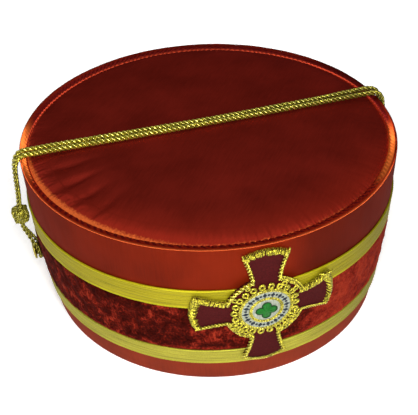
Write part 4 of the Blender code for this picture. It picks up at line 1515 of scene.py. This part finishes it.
def wreath_border(shape, quarter):
    """The ropes and curls of gold wire between two arms."""
    level = TRIM_BACK + 0.0003
    root_turn = math.atan2(ARM_ROOT, ARM_ROOT_HALF)
    start = math.pi - root_turn + quarter * math.pi / 2.0
    sweep = 2.0 * root_turn - math.pi / 2.0
    t = np.linspace(start - 0.04, start + sweep + 0.04, 60)
    ropes, curls = WREATHS[quarter]
    for radius, width in ropes:
        add_flat_rope(shape, rings(t, radius, level + 0.0002), width, 1.6 * width + 0.0004)
    random = np.random.default_rng(11 + quarter)
    for radius, count in curls:
        for place in range(count):
            turn = start + sweep * (place + 0.5 + random.uniform(-0.12, 0.12)) / count
            here = radius + random.uniform(-0.0003, 0.0003)
            add_wire_loop(shape, here * math.cos(turn), here * math.sin(turn), level + 0.0003,
                          0.00088 + random.uniform(-0.0001, 0.00018), 0.00045, random.uniform(0.0, 3.1),
                          random.uniform(1.0, 1.4), 0.0002)


class CAP_OT_add_badge(bpy.types.Operator):
    """Adds the cross badge: maroon cloth, bullion border, wreath and loops"""

    bl_idname = "cap.add_badge"
    bl_label = "Cross badge"

    def execute(self, context):
        colours = context.scene.cap_colours
        cloth = badge_cloth().make("badge_cloth", felt_look(tuple(colours.badge_cloth)))
        seat(cloth, "badge_cloth", "badge_ground")
        # bright is the look of the painted glint along each ply of the ropes
        gold, bright = gilt_pair(colours, 0.00035, "gilt_bullion_wire", "painted_glint_gilt_bullion_wire")
        border = Shape()
        for quarter in range(4):
            arm_border(border, quarter)
            wreath_border(border, quarter)
        seat(border.make("badge_border_bullion", gold, bright), "bullion", "badge_border")
        loops = Shape()
        random = np.random.default_rng(3)
        for number in range(LOOP_COUNT):
            turn = TURN * number / LOOP_COUNT
            radius = MEDALLION_RADIUS + 0.0021 + random.uniform(-0.0001, 0.0001)
            add_wire_loop(loops, radius * math.cos(turn), radius * math.sin(turn), TRIM_BACK + 0.0006,
                          0.00118, 0.00060, turn, 1.15, 0.0001)
        seat(loops.make("medallion_loops_wire", gold), "bullion", "medallion_loops")
        return {"FINISHED"}


def flat_ring(inner, outer, level):
    """A ring of silk laid in stitches that point to the middle, slightly domed."""
    stitches = 264
    across = np.linspace(0.0, 1.0, 9)
    turn = circle(stitches)
    dome = level + SILK_DOME * domed(2.0 * across[:, None] - 1.0)
    dome = dome + 0.00005 * np.cos(np.arange(stitches) * math.pi)
    points = rings(turn[:-1], inner + (outer - inner) * across[:, None], dome)
    section = points[[0, *range(len(points)), -1]]
    section[[0, -1], :, 2] = TRIM_BACK - GAP
    shape = Shape()
    places = np.concatenate(([0.0], across * (outer - inner), [outer - inner, 0.0]))
    shape.add_grid(on_badge(section), places, turn * outer, rows_close=True, columns_close=True, swapped=True)
    return shape


def add_marks(shape, count, radius, level):
    """Plain dark marks round the silk ring: lozenges that point to the middle, with dots between them."""
    for number in range(count):
        turn = TURN * (number + 0.5) / count
        half, widest = (0.00165, 0.00110) if number % 2 == 0 else (0.00070, 0.00070)
        t = np.linspace(-1.0, 1.0, 11)
        path = flat_path((radius + half * t) * math.cos(turn), (radius + half * t) * math.sin(turn), level)
        shares = 1.0 - np.abs(t) if number % 2 == 0 else domed(t)
        add_tube(shape, path, widest * np.maximum(shares, 0.08), flat=0.35, look=1)


def add_mound(shape, turn, reach, dome, foot, places, around):
    """Adds a raised silk form on the badge. Its rows run from the edge to the middle, and its side goes down
    to the foot."""
    points = rings(turn[:-1], reach, dome)
    section = points[[0, *range(len(points))]]
    section[0, :, 2] = foot
    first = shape.add_grid(on_badge(section), places, around, columns_close=True, swapped=True)
    shape.close_ends(first, section, bend=on_badge)
    return section


def rosette_shape():
    """A raised rosette of four round lobes, with a darker corded edge and a small middle knot."""
    turn = circle(144)
    lobes = 1.0 - 0.52 * (1.0 - np.abs(np.cos(2.0 * turn[:-1])) ** 0.7)
    reach = ROSETTE_RADIUS * lobes
    share = np.linspace(1.0, 0.06, 16)[:, None]
    level = TRIM_BACK + SILK_HEIGHT
    dome = level + 0.00075 * domed(share, 2.4) * (0.8 + 0.2 * lobes)
    vein = 0.00022 * np.exp(-(np.abs(np.sin(2.0 * turn[:-1])) / 0.30) ** 2) * np.sin(math.pi * share)
    stitch = 0.00004 * np.cos(np.arange(len(lobes)) * math.pi) * share
    shape = Shape()
    places = np.concatenate(([0.0], 0.005 * share[:, 0]))
    add_mound(shape, turn, share * reach, dome - vein + stitch, level - 0.0004, places, turn * 0.004)
    add_tube(shape, rings(turn[:-1], 1.02 * reach, level + 0.0002), 0.00028, closed=True, look=1)
    return shape


def silk_disc(level):
    """The medallion's middle: a slightly domed disc whose stitches all lie one way."""
    share = np.linspace(1.0, 0.05, 12)[:, None]
    turn = circle(96)
    dome = level + 0.00025 * domed(share)
    reach = INNER_RING_RADIUS - RING_WIDTH + SILK_UNDER_RING
    shape = Shape()
    section = add_mound(shape, turn, share * reach, dome, TRIM_BACK - GAP, np.zeros(len(share) + 1), turn)
    shape.places[0] = section[..., :2].reshape(-1, 2)[shape.faces[0]]
    return shape


class CAP_OT_add_medallion(bpy.types.Operator):
    """Adds the medallion: gold rings, white silk with plain marks, and the green rosette"""

    bl_idname = "cap.add_medallion"
    bl_label = "Medallion"

    def execute(self, context):
        colours = context.scene.cap_colours
        # bright is the look of the painted glint along each ply of the cords
        gold, bright = gilt_pair(colours, 0.00030, "gilt_medallion_cord", "painted_glint_gilt_medallion")
        turn = circle(200)[:-1]
        for name, radius in (("medallion_rim", MEDALLION_RADIUS), ("medallion_ring", INNER_RING_RADIUS)):
            shape = Shape()
            for middle, width in ((radius, 0.0011), (radius - 0.00080, 0.0010)):
                path = rings(turn, middle, TRIM_BACK + 0.0011)
                add_flat_rope(shape, path, width, 0.0026, closed=True, flat=1.0)
            seat(shape.make(name + "_cord", gold, bright), "bullion", name)
        silk = silk_look("white_filament_silk", tuple(colours.silk))
        navy = silk_look("navy_filament_silk", linear("#1b2430"))
        level, outer = TRIM_BACK + SILK_HEIGHT - SILK_DOME, MEDALLION_RADIUS - RING_WIDTH
        band = flat_ring(INNER_RING_RADIUS - SILK_UNDER_RING, outer + SILK_UNDER_RING, level)
        add_marks(band, 32, (INNER_RING_RADIUS + outer) / 2.0, level + SILK_DOME)
        seat(band.make("medallion_silk_ring", silk, navy), "white_silk", "medallion_band")
        seat(silk_disc(level).make("medallion_silk_disc", silk), "white_silk", "medallion_disc")
        green = silk_look("green_filament_silk", tuple(colours.leaf))
        dark = silk_look("dark_green_filament_silk", dimmed(tuple(colours.leaf), 0.3))
        seat(rosette_shape().make("rosette_silk", green, dark), "green_silk", "rosette")
        return {"FINISHED"}


OPERATORS = (
    CAP_OT_add_stage,
    CAP_OT_add_cords,
    CAP_OT_add_knots,
    CAP_OT_add_buttons,
    CAP_OT_add_band,
    CAP_OT_add_crown,
    CAP_OT_add_braids,
    CAP_OT_add_velvet,
    CAP_OT_add_badge,
    CAP_OT_add_medallion,
)


class CAP_PT_pieces(bpy.types.Panel):
    """Lists the cap's sizes, colours and pieces"""

    bl_idname = "CAP_PT_pieces"
    bl_label = "Ceremonial cap"
    bl_space_type = "VIEW_3D"
    bl_region_type = "UI"
    bl_category = "Cap"

    def draw(self, context):
        for title, group in (("Sizes", context.scene.cap_sizes), ("Colours", context.scene.cap_colours)):
            box = self.layout.box()
            box.label(text=title)
            for name in group.__annotations__:
                box.prop(group, name)
        column = self.layout.column()
        for operator in OPERATORS:
            column.operator(operator.bl_idname)


CLASSES = (CapSizes, CapColours) + OPERATORS + (CAP_PT_pieces,)


def register():
    """Adds the cap's properties, operators and panel to Blender."""
    for part in CLASSES:
        bpy.utils.register_class(part)
    bpy.types.Scene.cap_sizes = PointerProperty(type=CapSizes)
    bpy.types.Scene.cap_colours = PointerProperty(type=CapColours)


def unregister():
    """Takes them out again."""
    del bpy.types.Scene.cap_colours
    del bpy.types.Scene.cap_sizes
    for part in reversed(CLASSES):
        bpy.utils.unregister_class(part)


def main():
    """Makes every piece in order."""
    register()
    bpy.ops.cap.add_stage()
    bpy.ops.cap.add_cords()
    bpy.ops.cap.add_knots()
    bpy.ops.cap.add_buttons()
    bpy.ops.cap.add_band()
    bpy.ops.cap.add_crown()
    bpy.ops.cap.add_braids()
    bpy.ops.cap.add_velvet()
    bpy.ops.cap.add_badge()
    bpy.ops.cap.add_medallion()


if __name__ == "__main__":
    main()
